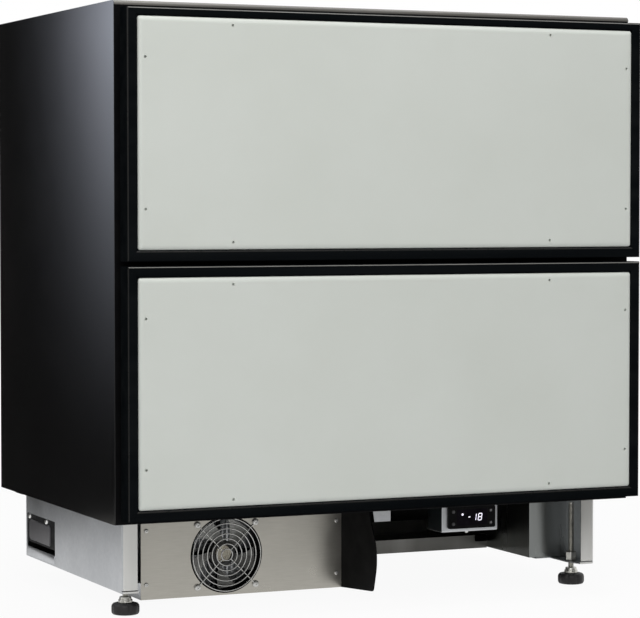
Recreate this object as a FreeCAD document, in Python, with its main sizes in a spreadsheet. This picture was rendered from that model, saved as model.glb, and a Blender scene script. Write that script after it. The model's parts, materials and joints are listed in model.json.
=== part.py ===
import FreeCAD, Part
import math
import os
from types import SimpleNamespace

import Sketcher

# Built-in freezer with two drawers. Millimetres, +Z up, front towards -Y, origin at the
# middle of the footprint on the floor.
SIZES = {
    # cabinet
    "cab_width": 898,
    "cab_depth": 587,
    "cab_height": 796,
    "base_height": 152,
    "skin": 1,
    "wall": 56,
    "liner_skin": 2,
    "mullion_height": 70,
    "mullion_depth": 45,
    # drawer fronts
    "side_margin": 4,
    "end_margin": 8.5,
    "front_gap": 7,
    "frame_depth": 31,
    "frame_face": 17,
    "top_trim": 4,
    "mitre_gap": 0.1,
    "plate_gap": 0.5,
    "plate_proud": 2,
    "plate_thick": 6,
    "plate_corner": 8,
    "plate_edge": 5,
    "hole_radius": 2.2,
    "hole_inset": 11,
    "hole_half_width": 275,
    "hole_half_height": 114,
    "pilot_depth": 18,
    "panel_skin": 2,
    "panel_inset": 6,
    "plug_depth": 28,
    "plug_clear": 12,
    "gasket_gap": 16,
    "gasket_inset": 8,
    "gasket_width": 16,
    "gasket_clear": 0.3,
    # bins and rails
    "bin_wall": 3,
    "bin_height": 250,
    "bin_corner": 14,
    "bin_floor_gap": 14,
    "bin_rear_clear": 17,
    "rim_width": 6,
    "rim_thick": 4,
    "rail_space": 13,
    "rail_height": 46,
    "rail_metal": 1.2,
    "rail_clear": 0.4,
    "rail_flange_clear": 2,
    "rail_rise": 90,
    "rail_setback": 14,
    # evaporator behind the bins
    "duct_depth": 70,
    "duct_skin": 2,
    "duct_margin": 30,
    "slot_width": 6,
    "slot_pitch": 16,
    "slot_height": 44,
    "slot_margin": 26,
    "slot_count": 40,
    "grille_count": 6,
    "cold_coil_width": 520,
    "cold_coil_height": 250,
    "cold_coil_depth": 48,
    "cold_coil_rise": 90,
    "cold_fan_drop": 130,
    "cold_fan_size": 92,
    "cold_fan_depth": 32,
    "cold_fan_bore": 44,
    "cold_fan_hub": 17,
    "cold_fan_tip": 39,
    "cold_fan_sweep": 10,
    # fins of both coils
    "fin_pitch": 8,
    "fin_gap": 5,
    "fin_cut": 14,
    "fin_end": 12,
    # base side plates
    "plate_inset": 30,
    "base_metal": 1.5,
    "base_drop": 114,
    "post_setback": 53,
    "post_width": 25,
    "foot_flange": 35,
    "sole_clear": 1,
    "base_rear_inset": 47,
    "window_rear": 5,
    "window_length": 151,
    "window_rise": 17,
    "window_height": 57.5,
    "cover_skin": 2,
    "cover_lap": 8,
    "cover_slot": 9,
    "cover_screw_rear": 15,
    "cover_screw_front": 45,
    "cover_screw_drop": 4.5,
    # condensing unit on the left
    "unit_side_gap": 61.5,
    "unit_right": 6.5,
    "unit_rear_gap": 12,
    "unit_floor": 12,
    "unit_flange": 20,
    "fan_setback": 142,
    "panel_metal": 1.2,
    "panel_screw_inset": 9,
    "panel_screw_low": 24,
    "panel_screw_high": 30,
    "fan_inset": 146.4,
    "fan_z": 77,
    "fan_opening": 62,
    "fan_size": 122,
    "fan_depth": 38,
    "fan_bore": 59.5,
    "fan_hub": 21,
    "fan_tip": 54.5,
    "fan_blades": 5,
    "blade_thick": 2,
    "fan_sweep": 15,
    "motor_depth": 12,
    "strut_width": 6,
    "strut_depth": 5,
    "spin_clear": 0.3,
    "guard_wire": 2,
    "guard_first": 9.4,
    "guard_pitch": 8.2,
    "guard_rings": 7,
    "guard_holes": 100.5,
    "guard_eye": 4.6,
    "guard_weld": 1.4,
    "hot_coil_gap": 8,
    "hot_coil_depth": 60,
    "hot_coil_margin": 12,
    "hot_coil_height": 122,
    "compressor_inset": 187,
    "compressor_y": 120,
    "compressor_radius": 70,
    "compressor_height": 108,
    "compressor_round": 26,
    "foot_plate_width": 190,
    "foot_plate_depth": 130,
    "foot_plate_thick": 3,
    "grommet_radius": 11,
    "grommet_height": 10,
    "grommet_inset": 14,
    "terminal_width": 26,
    "terminal_length": 52,
    "terminal_height": 48,
    "pipe_radius": 4,
    "pipe_bend": 16,
    "pipe_reach": 38,
    "pipe_height": 66,
    "liquid_height": 26,
    "drier_rise": 60,
    "drier_radius": 9,
    "drier_length": 56,
    # right of the condensing unit
    "baffle_thick": 2,
    "baffle_flare": 7,
    "baffle_reach": 97,
    "baffle_tip_rise": 5,
    "baffle_crown_reach": 111.5,
    "baffle_crown_rise": 65,
    "baffle_top_reach": 80.5,
    "baffle_round": 100,
    "baffle_tip_round": 6,
    "baffle_lap": 30,
    "tray_front": 303,
    "tray_height": 23,
    "electrics_width": 69.5,
    "rear_slots": 14,
    "rear_slot_height": 50,
    "rear_slot_start": 38,
    "tab_x": 18,
    "tab_width": 32,
    "tab_drop": 26.4,
    "tab_setback": 73,
    "tab_notch": 6,
    # controller
    "bracket_left": 127.5,
    "bracket_width": 103,
    "bracket_drop": 46,
    "bracket_depth": 60,
    "bracket_flange": 48,
    "bracket_setback": 43,
    "bracket_screw_setback": 12,
    "case_offset": 53.5,
    "case_width": 85.4,
    "case_height": 36,
    "case_drop": 22.5,
    "case_lip": 5,
    "case_corner": 3,
    "case_body_width": 71,
    "case_body_height": 29,
    "case_body_depth": 55,
    "case_clear": 0.5,
    "lens_width": 56,
    "lens_height": 26,
    "lens_thick": 1.2,
    "button_radius": 3,
    "button_half_width": 34.2,
    "button_half_height": 10,
    "button_proud": 1,
    "button_depth": 2.4,
    "button_well": 3.6,
    "button_clear": 0.2,
    # feet
    "foot_inset": 50,
    "foot_front": 95,
    "rear_foot_x": 165,
    "rear_foot_inset": 24,
    "lug_width": 60,
    "lug_depth": 42,
    "lug_rise": 24,
    "pad_radius": 22,
    "pad_height": 18.6,
    "pad_round": 3,
    "collar_radius": 11.2,
    "collar_height": 9,
    "rod_radius": 5,
    "rod_clear": 0.3,
    "rod_top_clear": 14,
    "nut_radius": 9.8,
    "nut_height": 15,
    # screws
    "screw_head": 3.6,
    "screw_head_height": 2,
    "screw_shank": 1.8,
    "screw_length": 7,
    "screw_clear": 0.2,
    "guard_head": 5,
    "guard_shank": 2,
    "guard_screw_length": 14,
}

doc = FreeCAD.newDocument("freezer_drawers")
sheet = doc.addObject("Spreadsheet::Sheet", "sizes")
for row, (alias, number) in enumerate(SIZES.items(), start=1):
    sheet.set(f"A{row}", alias)
    sheet.set(f"B{row}", str(number))
    sheet.setAlias(f"B{row}", alias)
doc.recompute()


class Formula:
    """A length that carries its number and the sheet formula that it comes from."""

    def __init__(self, number, text):
        self.number = number
        self.text = text

    @staticmethod
    def of(thing):
        if isinstance(thing, Formula):
            return thing
        return Formula(float(thing), repr(float(thing)))

    def mixed(self, sign, other, number):
        return Formula(number, f"({self.text} {sign} {other.text})")

    def __add__(self, other):
        other = Formula.of(other)
        return self.mixed("+", other, self.number + other.number)

    def __sub__(self, other):
        other = Formula.of(other)
        return self.mixed("-", other, self.number - other.number)

    def __mul__(self, other):
        other = Formula.of(other)
        return self.mixed("*", other, self.number * other.number)

    def __truediv__(self, other):
        other = Formula.of(other)
        return self.mixed("/", other, self.number / other.number)

    def __neg__(self):
        return Formula.of(0) - self

    def __radd__(self, other):
        return Formula.of(other) + self

    def __rsub__(self, other):
        return Formula.of(other) - self

    def __rmul__(self, other):
        return Formula.of(other) * self


size = SimpleNamespace(**{alias: Formula(float(sheet.get(alias)), f"sizes.{alias}") for alias in SIZES})

# Main planes of the cabinet
half_width = size.cab_width / 2
back = (size.cab_depth + size.gasket_gap + size.frame_depth + size.plate_proud) / 2
cab_front = back - size.cab_depth
frame_back = cab_front - size.gasket_gap
frame_front = frame_back - size.frame_depth
cab_bottom = size.base_height
cab_top = size.base_height + size.cab_height
middle = size.base_height + size.cab_height / 2
return_width = size.wall - size.liner_skin
cavity_half = half_width - size.wall
cavity_bottom = cab_bottom + size.wall
cavity_top = cab_top - size.wall
cavity_back = back - size.wall

# Main planes of the drawers
front_half = half_width - size.side_margin
front_height = (size.cab_height - 2 * size.end_margin - size.front_gap) / 2
bin_half = cavity_half - size.rail_space
plug_back = frame_back + size.panel_skin + size.plug_depth
duct_front = cavity_back - size.duct_depth
rail_front = cab_front + size.rail_setback
rail_back = duct_front - size.bin_rear_clear

# Main planes of the base
base_low = cab_bottom - size.base_drop
post_front = cab_front + size.post_setback
base_back = back - size.base_rear_inset
plate_out = half_width - size.plate_inset
plate_in = plate_out - size.base_metal
rear_face = base_back - size.base_metal
panel_front = cab_front + size.fan_setback
panel_back = panel_front + size.panel_metal
unit_floor_top = size.unit_floor + size.base_metal
electrics_left = plate_in - size.electrics_width
unit_left = size.unit_side_gap - plate_in
fan_x = unit_left + size.fan_inset
compressor_x = unit_left + size.compressor_inset

nodes = []


def bind(thing, prop, formula):
    thing.setExpression(prop, Formula.of(formula).text)


def place(thing, point):
    """Binds a piece's position to the sheet."""
    for axis, formula in zip("xyz", point):
        bind(thing, f"Placement.Base.{axis}", formula)
    return thing


def node(piece, label):
    """Names a finished sub-part; its label names its file."""
    piece.Label = label
    nodes.append(piece)
    return piece


def box(low, high, name="block"):
    """A block between two opposite corners."""
    block = doc.addObject("Part::Box", name)
    for prop, start, end in zip(("Length", "Width", "Height"), low, high):
        bind(block, prop, Formula.of(end) - start)
    return place(block, low)


TURNS = {
    "x": FreeCAD.Rotation(FreeCAD.Vector(0, 1, 0), 90),
    "y": FreeCAD.Rotation(FreeCAD.Vector(1, 0, 0), -90),
    "z": FreeCAD.Rotation(),
}


def cylinder(start, radius, length, axis, name="round"):
    """A cylinder that runs from its start point in the positive direction of an axis."""
    bar = doc.addObject("Part::Cylinder", name)
    bind(bar, "Radius", radius)
    bind(bar, "Height", length)
    bar.Placement = FreeCAD.Placement(FreeCAD.Vector(), TURNS[axis])
    return place(bar, start)


def join(pieces, name="joined"):
    """Several touching shapes made into one solid."""
    joined = doc.addObject("Part::MultiFuse", name)
    joined.Shapes = pieces
    joined.Refine = True
    return joined


def group(pieces, name="group"):
    """Separate solids kept side by side."""
    together = doc.addObject("Part::Compound", name)
    together.Links = pieces
    return together


def cut(base, tools, name="cut"):
    """A shape with one or more others taken out of it."""
    result = doc.addObject("Part::Cut", name)
    result.Base = base
    result.Tool = tools[0] if len(tools) == 1 else group(tools, "tools")
    return result


def mirrored(source, name="mirrored"):
    """The same piece on the other side of the middle plane."""
    twin = doc.addObject("Part::Mirroring", name)
    twin.Source = source
    twin.Normal = FreeCAD.Vector(1, 0, 0)
    return twin


def plane_of(body, role):
    return next(item for item in body.Origin.OriginFeatures if item.Role == role)


def sketch_on(body, role, offset=0):
    """A sketch on one of the body's own planes, moved along the plane's normal."""
    sketch = body.newObject("Sketcher::SketchObject", "profile")
    sketch.AttachmentSupport = (plane_of(body, role), [""])
    sketch.MapMode = "FlatFace"
    bind(sketch, "AttachmentOffset.Base.z", offset)
    return sketch


def dimension(sketch, kind, first, second, formula):
    """One driving distance in a sketch, bound to the sheet."""
    value = Formula.of(formula).number
    index = sketch.addConstraint(Sketcher.Constraint(kind, *first, *second, value))
    bind(sketch, f"Constraints[{index}]", formula)


ORIGIN = (-1, 1)


def pin_point(sketch, element, across, up):
    """Dimensions one sketch point from the sketch's origin."""
    dimension(sketch, "DistanceX", ORIGIN, element, across)
    dimension(sketch, "DistanceY", ORIGIN, element, up)


def outline(sketch, points):
    """A closed loop of straight lines."""
    numbers = [FreeCAD.Vector(Formula.of(x).number, Formula.of(y).number, 0) for x, y in points]
    first = sketch.GeometryCount
    count = len(points)
    for index, start in enumerate(numbers):
        sketch.addGeometry(Part.LineSegment(start, numbers[(index + 1) % count]))
    for index in range(count):
        following = first + (index + 1) % count
        sketch.addConstraint(Sketcher.Constraint("Coincident", first + index, 2, following, 1))
    for index, (across, up) in enumerate(points):
        pin_point(sketch, (first + index, 1), across, up)


def rectangle(sketch, low, high):
    outline(sketch, [low, (high[0], low[1]), high, (low[0], high[1])])


def circle(sketch, centre, radius):
    middle_point = FreeCAD.Vector(*(Formula.of(value).number for value in centre), 0)
    shape = Part.Circle(middle_point, FreeCAD.Vector(0, 0, 1), Formula.of(radius).number)
    index = sketch.addGeometry(shape)
    pin_point(sketch, (index, 3), *centre)
    constraint = sketch.addConstraint(Sketcher.Constraint("Radius", index, Formula.of(radius).number))
    bind(sketch, f"Constraints[{constraint}]", radius)


def new_body(name):
    return doc.addObject("PartDesign::Body", name)


def pad(body, sketch, length):
    """Material added along the normal of the sketch's plane."""
    doc.recompute()
    feature = body.newObject("PartDesign::Pad", "pad")
    feature.Profile = sketch
    bind(feature, "Length", length)
    doc.recompute()
    return feature


def pocket(body, sketch, depth):
    """Material taken away against the normal of the sketch's plane."""
    doc.recompute()
    before = body.Shape.Volume
    feature = body.newObject("PartDesign::Pocket", "pocket")
    feature.Profile = sketch
    bind(feature, "Length", depth)
    doc.recompute()
    if body.Shape.Volume >= before:
        raise RuntimeError(f"{body.Name}: the pocket cuts nothing")
    return feature


def edges_where(shape, wanted):
    return [f"Edge{index}" for index, edge in enumerate(shape.Edges, start=1) if wanted(edge)]


def runs_along(edge, axis):
    """True for a straight edge parallel to one axis, given as 0, 1 or 2."""
    if not isinstance(edge.Curve, Part.Line):
        return False
    return abs(abs(edge.Curve.Direction[axis]) - 1) < 1e-6


def fillet(body, feature, names, radius):
    rounding = body.newObject("PartDesign::Fillet", "rounding")
    rounding.Base = (feature, names)
    bind(rounding, "Radius", radius)
    doc.recompute()
    return rounding


def padded_outline(name, role, points, offset, length):
    """A body made by one padded outline."""
    body = new_body(name)
    sketch = sketch_on(body, role, offset)
    outline(sketch, points)
    pad(body, sketch, length)
    return body


def cabinet_skins():
    """Outer sheet panels; each side, top and bottom sheet turns in at the front."""
    left = join([
        box((-half_width, cab_front, cab_bottom), (-half_width + size.skin, back, cab_top)),
        box((-half_width, cab_front, cab_bottom),
            (return_width - half_width, cab_front + size.skin, cab_top)),
    ])
    node(left, "left_side_panel")
    node(mirrored(left), "right_side_panel")
    inside = half_width - size.skin
    mouth = half_width - return_width
    flat_front = cab_front + size.skin
    ends = (
        ("top_panel", cab_top - size.skin, cab_top, cab_top - return_width, cab_top),
        ("bottom_panel", cab_bottom, cab_bottom + size.skin, cab_bottom, cab_bottom + return_width),
    )
    for label, flat_low, flat_high, turn_low, turn_high in ends:
        flat = box((-inside, flat_front, flat_low), (inside, back, flat_high))
        turn = box((-mouth, cab_front, turn_low), (mouth, flat_front, turn_high))
        node(join([flat, turn]), label)
    low = (-inside, back - size.skin, cab_bottom + size.skin)
    node(box(low, (inside, back, cab_top - size.skin)), "back_panel")


def cabinet_inside():
    """Foam slabs between the skins and the liner, the liner itself and the bar between the mouths."""
    outer = half_width - size.skin
    inner = half_width - return_width
    foam_front = cab_front + size.skin
    foam_back = back - size.skin
    low = cab_bottom + size.skin
    high = cab_top - size.skin
    inner_low = cab_bottom + return_width
    inner_high = cab_top - return_width
    slabs = [
        box((-outer, foam_front, low), (-inner, foam_back, high)),
        box((inner, foam_front, low), (outer, foam_back, high)),
        box((-inner, foam_front, low), (inner, foam_back, inner_low)),
        box((-inner, foam_front, inner_high), (inner, foam_back, high)),
        box((-inner, back - return_width, inner_low), (inner, foam_back, inner_high)),
    ]
    node(group(slabs), "insulation")

    liner = new_body("liner")
    shell = sketch_on(liner, "XZ_Plane", return_width - back)
    rectangle(shell, (-inner, inner_low), (inner, inner_high))
    pad(liner, shell, back - return_width - cab_front)
    hollow = sketch_on(liner, "XZ_Plane", -cab_front)
    rectangle(hollow, (-cavity_half, cavity_bottom), (cavity_half, cavity_top))
    pocket(liner, hollow, cavity_back - cab_front)
    node(liner, "inner_liner")

    half_bar = size.mullion_height / 2
    low_corner = (-cavity_half, cab_front, middle - half_bar)
    high_corner = (cavity_half, cab_front + size.mullion_depth, middle + half_bar)
    node(box(low_corner, high_corner), "mullion_bar")


def channel(name, web, lip, centre, height):
    """A rail of C section along Y, from its web to the lips of its two flanges."""
    metal = size.rail_metal if lip.number > web.number else -size.rail_metal
    low = centre - height / 2
    high = centre + height / 2
    points = [
        (web, low), (lip, low), (lip, low + size.rail_metal), (web + metal, low + size.rail_metal),
        (web + metal, high - size.rail_metal), (lip, high - size.rail_metal), (lip, high), (web, high),
    ]
    return padded_outline(name, "XZ_Plane", points, -rail_back, rail_back - rail_front)


def rail_set(bin_low):
    """Outer, middle and inner rails of one drawer, each as a left and right pair."""
    centre = bin_low + size.rail_rise
    step = size.rail_metal + size.rail_clear
    outer_lip = bin_half + size.rail_flange_clear
    outer = channel("outer_rail", cavity_half, outer_lip, centre, size.rail_height)
    mid_web = cavity_half - step
    mid = channel("mid_rail", mid_web, outer_lip, centre, size.rail_height - 2 * step)
    inner = channel("inner_rail", bin_half, mid_web - step, centre, size.rail_height - 4 * step)
    return [[rail, mirrored(rail)] for rail in (outer, mid, inner)]


def front_frame(label, low, high, trim):
    """Four bars with mitred ends around a drawer front; the top bar may be trimmed lower."""
    face = size.frame_face
    top = high - trim
    outer = [(-front_half, low), (front_half, low), (front_half, top), (-front_half, top)]
    inner = [
        (face - front_half, low + face), (front_half - face, low + face),
        (front_half - face, high - face), (face - front_half, high - face),
    ]
    bars = []
    for index, (right, up) in enumerate(((1, 0), (0, 1), (-1, 0), (0, -1))):
        following = (index + 1) % 4
        across = right * size.mitre_gap / 2
        along = up * size.mitre_gap / 2
        starts = [(x + across, z + along) for x, z in (outer[index], inner[index])]
        ends = [(x - across, z - along) for x, z in (inner[following], outer[following])]
        bars.append(padded_outline("bar", "XZ_Plane", starts + ends, -frame_back, size.frame_depth))
    node(group(bars), label)


def panel_holes(low, high):
    """Places of the eight decor panel screws in a front, as x and z."""
    inset = size.frame_face + size.plate_gap + size.hole_inset
    centre = (low + high) / 2
    tall = (high - low) / 2 - inset
    wide = front_half - inset
    pairs = ((size.hole_half_width, tall), (wide, size.hole_half_height))
    return [(x, centre + side * up) for across, up in pairs for x in (-across, across) for side in (-1, 1)]


def face_plate(label, low, high):
    """Carrier plate with rolled edges and eight holes for the screws of a decor panel."""
    inset = size.frame_face + size.plate_gap
    half = front_half - inset
    plate_back = frame_front + size.plate_thick - size.plate_proud
    body = new_body("plate")
    sketch = sketch_on(body, "XZ_Plane", -plate_back)
    rectangle(sketch, (-half, low + inset), (half, high - inset))
    block = pad(body, sketch, size.plate_thick)
    corners = edges_where(block.Shape, lambda edge: runs_along(edge, 1))
    rounded = fillet(body, block, corners, size.plate_corner)
    face_y = (plate_back - size.plate_thick).number
    rim = edges_where(rounded.Shape, lambda edge: abs(edge.BoundBox.YMax - face_y) < 1e-6)
    fillet(body, rounded, rim, size.plate_edge)
    holes = sketch_on(body, "XZ_Plane", size.plate_thick - plate_back)
    for place_of_hole in panel_holes(low, high):
        circle(holes, place_of_hole, size.hole_radius)
    pocket(body, holes, size.plate_thick)
    node(body, label)


def gasket(label, low, high):
    """Magnetic seal ring between the front and the cabinet's returns."""
    body = new_body("seal")
    sketch = sketch_on(body, "XZ_Plane", size.gasket_clear - cab_front)
    for inset in (size.gasket_inset, size.gasket_inset + size.gasket_width):
        rectangle(sketch, (inset - front_half, low + inset), (front_half - inset, high - inset))
    pad(body, sketch, size.gasket_gap - size.panel_skin - size.gasket_clear)
    node(body, label)


def bin_tub(label, low):
    """Open-topped bin with round corners and a rim, hung between the inner rails."""
    body = new_body("tub")
    ground = sketch_on(body, "XY_Plane", low)
    rectangle(ground, (-bin_half, plug_back), (bin_half, rail_back))
    block = pad(body, ground, size.bin_height)
    uprights = edges_where(block.Shape, lambda edge: runs_along(edge, 2))
    block = fillet(body, block, uprights, size.bin_corner)
    floor_z = low.number
    around = edges_where(block.Shape, lambda edge: abs(edge.BoundBox.ZMax - floor_z) < 1e-6)
    block = fillet(body, block, around, size.bin_corner)
    top_z = (low + size.bin_height).number
    top = [f"Face{index}" for index, face in enumerate(block.Shape.Faces, start=1)
           if abs(face.BoundBox.ZMin - top_z) < 1e-6]
    shell = body.newObject("PartDesign::Thickness", "shell")
    shell.Base = (block, top)
    bind(shell, "Value", size.bin_wall)
    shell.Reversed = True
    shell.Join = 0
    doc.recompute()
    rim = sketch_on(body, "XY_Plane", low + size.bin_height - size.rim_thick)
    out = bin_half + size.rim_width
    rectangle(rim, (-out, plug_back), (out, rail_back + size.rim_width))
    clear = bin_half - size.bin_wall
    rectangle(rim, (-clear, plug_back + size.bin_wall), (clear, rail_back - size.bin_wall))
    pad(body, rim, size.rim_thick)
    node(body, label)


def inner_panel(label, low, high, mouth_low, mouth_high):
    """Inner skin of a front with the plug that fills the mouth."""
    inset = size.panel_inset
    flat = box((inset - front_half, frame_back, low + inset),
               (front_half - inset, frame_back + size.panel_skin, high - inset))
    half = cavity_half - size.plug_clear
    plug = box((-half, frame_back + size.panel_skin, mouth_low + size.plug_clear),
               (half, plug_back, mouth_high - size.plug_clear))
    node(join([flat, plug]), label)


def drawer(name, low, mouth_low, mouth_high, trim):
    """One drawer with its front, bin and rails; returns its fixed outer rails."""
    high = low + front_height
    front_frame(f"{name}_front_frame", low, high, trim)
    face_plate(f"{name}_face_plate", low, high)
    face = size.frame_face
    plate_back = frame_front + size.plate_thick - size.plate_proud
    core = box((face - front_half, plate_back, low + face), (front_half - face, frame_back, high - face))
    pilots = [cylinder((x, plate_back, z), size.hole_radius, size.pilot_depth, "y")
              for x, z in panel_holes(low, high)]
    node(cut(core, pilots), f"{name}_front_core")
    inner_panel(f"{name}_inner_panel", low, high, mouth_low, mouth_high)
    gasket(f"{name}_gasket", low, high)
    bin_low = mouth_low + size.bin_floor_gap
    bin_tub(f"{name}_bin", bin_low)
    outer, mid, inner = rail_set(bin_low)
    node(group(mid), f"{name}_mid_rails")
    node(group(inner), f"{name}_inner_rails")
    return outer


def drawers():
    half_bar = size.mullion_height / 2
    low = cab_bottom + size.end_margin
    upper_low = low + front_height + size.front_gap
    rails = drawer("lower", low, cavity_bottom, middle - half_bar, 0)
    rails += drawer("upper", upper_low, middle + half_bar, cavity_top, size.top_trim)
    node(group(rails), "outer_rails")


def finned_coil(label, low, high):
    """A coil block whose front and rear faces are cut into fins."""
    body = new_body("coil")
    block = sketch_on(body, "XZ_Plane", -high[1])
    rectangle(block, (low[0], low[2]), (high[0], high[2]))
    pad(body, block, high[1] - low[1])
    start = low[0] + size.fin_end
    room = high[0] - low[0] - 2 * size.fin_end
    copies = int((room.number - SIZES["fin_gap"]) // SIZES["fin_pitch"]) + 1
    for offset in (-low[1], size.fin_cut - high[1]):
        groove = sketch_on(body, "XZ_Plane", offset)
        rectangle(groove, (start, low[2]), (start + size.fin_gap, high[2]))
        slit = pocket(body, groove, size.fin_cut)
        row_of_slits = body.newObject("PartDesign::LinearPattern", "fins")
        row_of_slits.Originals = [slit]
        row_of_slits.Direction = (groove, ["H_Axis"])
        bind(row_of_slits, "Length", size.fin_pitch * (copies - 1))
        row_of_slits.Occurrences = copies
        body.Tip = row_of_slits
        doc.recompute()
    node(body, label)


def impeller(label, x, z, front, depth, hub, tip, sweep):
    """Hub with slanted blades that turns about an axis along Y."""
    body = new_body("impeller")
    place(body, (x, 0, z))
    disc = sketch_on(body, "XZ_Plane", -(front + depth))
    circle(disc, (0, 0), hub)
    pad(body, disc, depth)
    section = sketch_on(body, "XY_Plane", hub - size.blade_thick)
    slant = size.blade_thick
    near = front + slant
    far = front + depth - slant
    near_edge = [(-sweep - slant, near), (-sweep + slant, near)]
    far_edge = [(sweep + slant, far), (sweep - slant, far)]
    outline(section, near_edge + far_edge)
    blade = pad(body, section, tip - hub + size.blade_thick)
    blades = body.newObject("PartDesign::PolarPattern", "blades")
    blades.Originals = [blade]
    blades.Axis = (plane_of(body, "Y_Axis"), [""])
    blades.Angle = 360
    bind(blades, "Occurrences", size.fan_blades)
    body.Tip = blades
    doc.recompute()
    node(body, label)


def axial_fan(name, x, z, front, width, depth, bore, hub, tip, sweep, screw_spacing=None):
    """Square fan frame with a motor held by four struts, and the impeller in front of the motor."""
    half = width / 2
    rear = front + depth
    frame = cut(box((x - half, front, z - half), (x + half, rear, z + half)),
                [cylinder((x, front, z), bore, depth, "y")])
    motor_front = rear - size.motor_depth
    arm = size.strut_width / 2
    strut_front = rear - size.strut_depth
    arms = [
        box((x - half, strut_front, z - arm), (x + half, rear, z + arm)),
        box((x - arm, strut_front, z - half), (x + arm, rear, z + half)),
    ]
    frame = join([frame, cylinder((x, motor_front, z), hub, size.motor_depth, "y")] + arms)
    if screw_spacing:
        reach = screw_spacing / 2
        hole = size.guard_shank + size.screw_clear
        frame = cut(frame, [cylinder((x + across, front, z + up), hole, depth, "y")
                            for across in (-reach, reach) for up in (-reach, reach)])
    node(frame, f"{name}_fan_frame")
    start = front + size.blade_thick
    impeller(f"{name}_fan", x, z, start, motor_front - size.spin_clear - start, hub, tip, sweep)


def evaporator():
    """Cold coil, its fan and the slotted duct cover on the rear wall of the liner."""
    half = cavity_half - size.duct_margin
    low = cavity_bottom + size.duct_margin
    high = cavity_top - size.duct_margin
    skin = size.duct_skin
    duct = cut(box((-half, duct_front, low), (half, cavity_back, high)),
               [box((skin - half, duct_front + skin, low + skin), (half - skin, cavity_back, high - skin))])
    fan_z = high - size.cold_fan_drop
    rows = (
        (SIZES["slot_count"], low + size.slot_margin, size.slot_height),
        (SIZES["slot_count"], middle - size.slot_height / 2, size.slot_height),
        (SIZES["grille_count"], fan_z - size.cold_fan_bore, 2 * size.cold_fan_bore),
    )
    slots = []
    for count, start, height in rows:
        for index in range(count):
            left = size.slot_pitch * (index - (count - 1) / 2) - size.slot_width / 2
            right = left + size.slot_width
            slots.append(box((left, duct_front, start), (right, duct_front + skin, start + height)))
    node(cut(duct, slots), "evaporator_cover")
    coil_half = size.cold_coil_width / 2
    coil_low = low + size.cold_coil_rise
    finned_coil("evaporator_coil", (-coil_half, cavity_back - size.cold_coil_depth, coil_low),
                (coil_half, cavity_back, coil_low + size.cold_coil_height))
    axial_fan("evaporator", Formula.of(0), fan_z, duct_front + skin, size.cold_fan_size, size.cold_fan_depth,
              size.cold_fan_bore, size.cold_fan_hub, size.cold_fan_tip, size.cold_fan_sweep)


def foot_places():
    """Middle of each foot as a name, x and y; the rear pair stands behind the base."""
    x = half_width - size.foot_inset
    front = cab_front + size.foot_front
    rear_x = size.rear_foot_x
    rear = back - size.rear_foot_inset
    return (
        ("front_left", -x, front), ("front_right", x, front),
        ("rear_left", -rear_x, rear), ("rear_right", rear_x, rear),
    )


def cover_screw_places():
    """Height and the two depths of the screws that hold a side cover."""
    rear = base_back - size.window_rear
    front = rear - size.window_length
    height = base_low + size.window_rise + size.window_height - size.cover_screw_drop
    return height, (rear - size.cover_screw_rear, front + size.cover_screw_front)


def side_plates():
    """Base side plates: a post at the front, a sole below that widens at the rear, and a window."""
    metal = size.base_metal
    web = box((-plate_out, post_front, base_low), (-plate_in, base_back, cab_bottom))
    turn = size.post_width - plate_out
    post = box((-plate_out, post_front, base_low), (turn, post_front + metal, cab_bottom))
    lip = box((-plate_out, post_front, cab_bottom - metal), (turn, rear_face, cab_bottom))
    sole_edge = size.foot_flange - plate_out
    sole = box((-plate_out, post_front, base_low), (sole_edge, rear_face, base_low + metal))
    tongue_edge = unit_left - size.sole_clear
    tongue = box((-plate_out, panel_front, base_low), (tongue_edge, rear_face, base_low + metal))
    window_back = base_back - size.window_rear
    window_front = window_back - size.window_length
    window_low = base_low + size.window_rise
    window_high = window_low + size.window_height
    tools = [box((-plate_out, window_front, window_low), (-plate_in, window_back, window_high))]
    for name, x, y in foot_places():
        if name == "front_left":
            tools.append(cylinder((x, y, base_low), size.rod_radius + size.rod_clear, metal, "z"))
    left = cut(join([web, post, sole, tongue, lip]), tools)
    node(left, "left_base_plate")
    node(mirrored(left), "right_base_plate")

    lap = size.cover_lap
    cover = box((-plate_in, window_front - lap, window_low + size.cover_slot),
                (size.cover_skin - plate_in, window_back, window_high + lap))
    height, depths = cover_screw_places()
    hole = size.screw_shank + size.screw_clear
    cover = cut(cover, [cylinder((-plate_in, y, height), hole, size.cover_skin, "x") for y in depths])
    node(group([cover, mirrored(cover)]), "side_covers")


def rear_panel():
    """Sheet across the rear of the base with upright air slots and a cheeked lug for each rear foot."""
    metal = size.base_metal
    pieces = [box((-plate_in, rear_face, base_low), (plate_in, base_back, cab_bottom))]
    tools = []
    lug_back = base_back + size.lug_depth
    for name, x, y in foot_places():
        if name.startswith("rear"):
            left = x - size.lug_width / 2
            right = x + size.lug_width / 2
            pieces.append(box((left, rear_face, base_low), (right, lug_back, base_low + metal)))
            for cheek in (left, right - metal):
                top = base_low + size.lug_rise
                pieces.append(box((cheek, rear_face, base_low), (cheek + metal, lug_back, top)))
            tools.append(cylinder((x, y, base_low), size.rod_radius + size.rod_clear, metal, "z"))
    low = (base_low + cab_bottom) / 2 - size.rear_slot_height / 2
    for index in range(SIZES["rear_slots"]):
        left = unit_left + size.rear_slot_start + size.slot_pitch * index
        right = left + size.slot_width
        tools.append(box((left, rear_face, low), (right, base_back, low + size.rear_slot_height)))
    node(cut(join(pieces), tools), "base_rear_panel")


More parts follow.
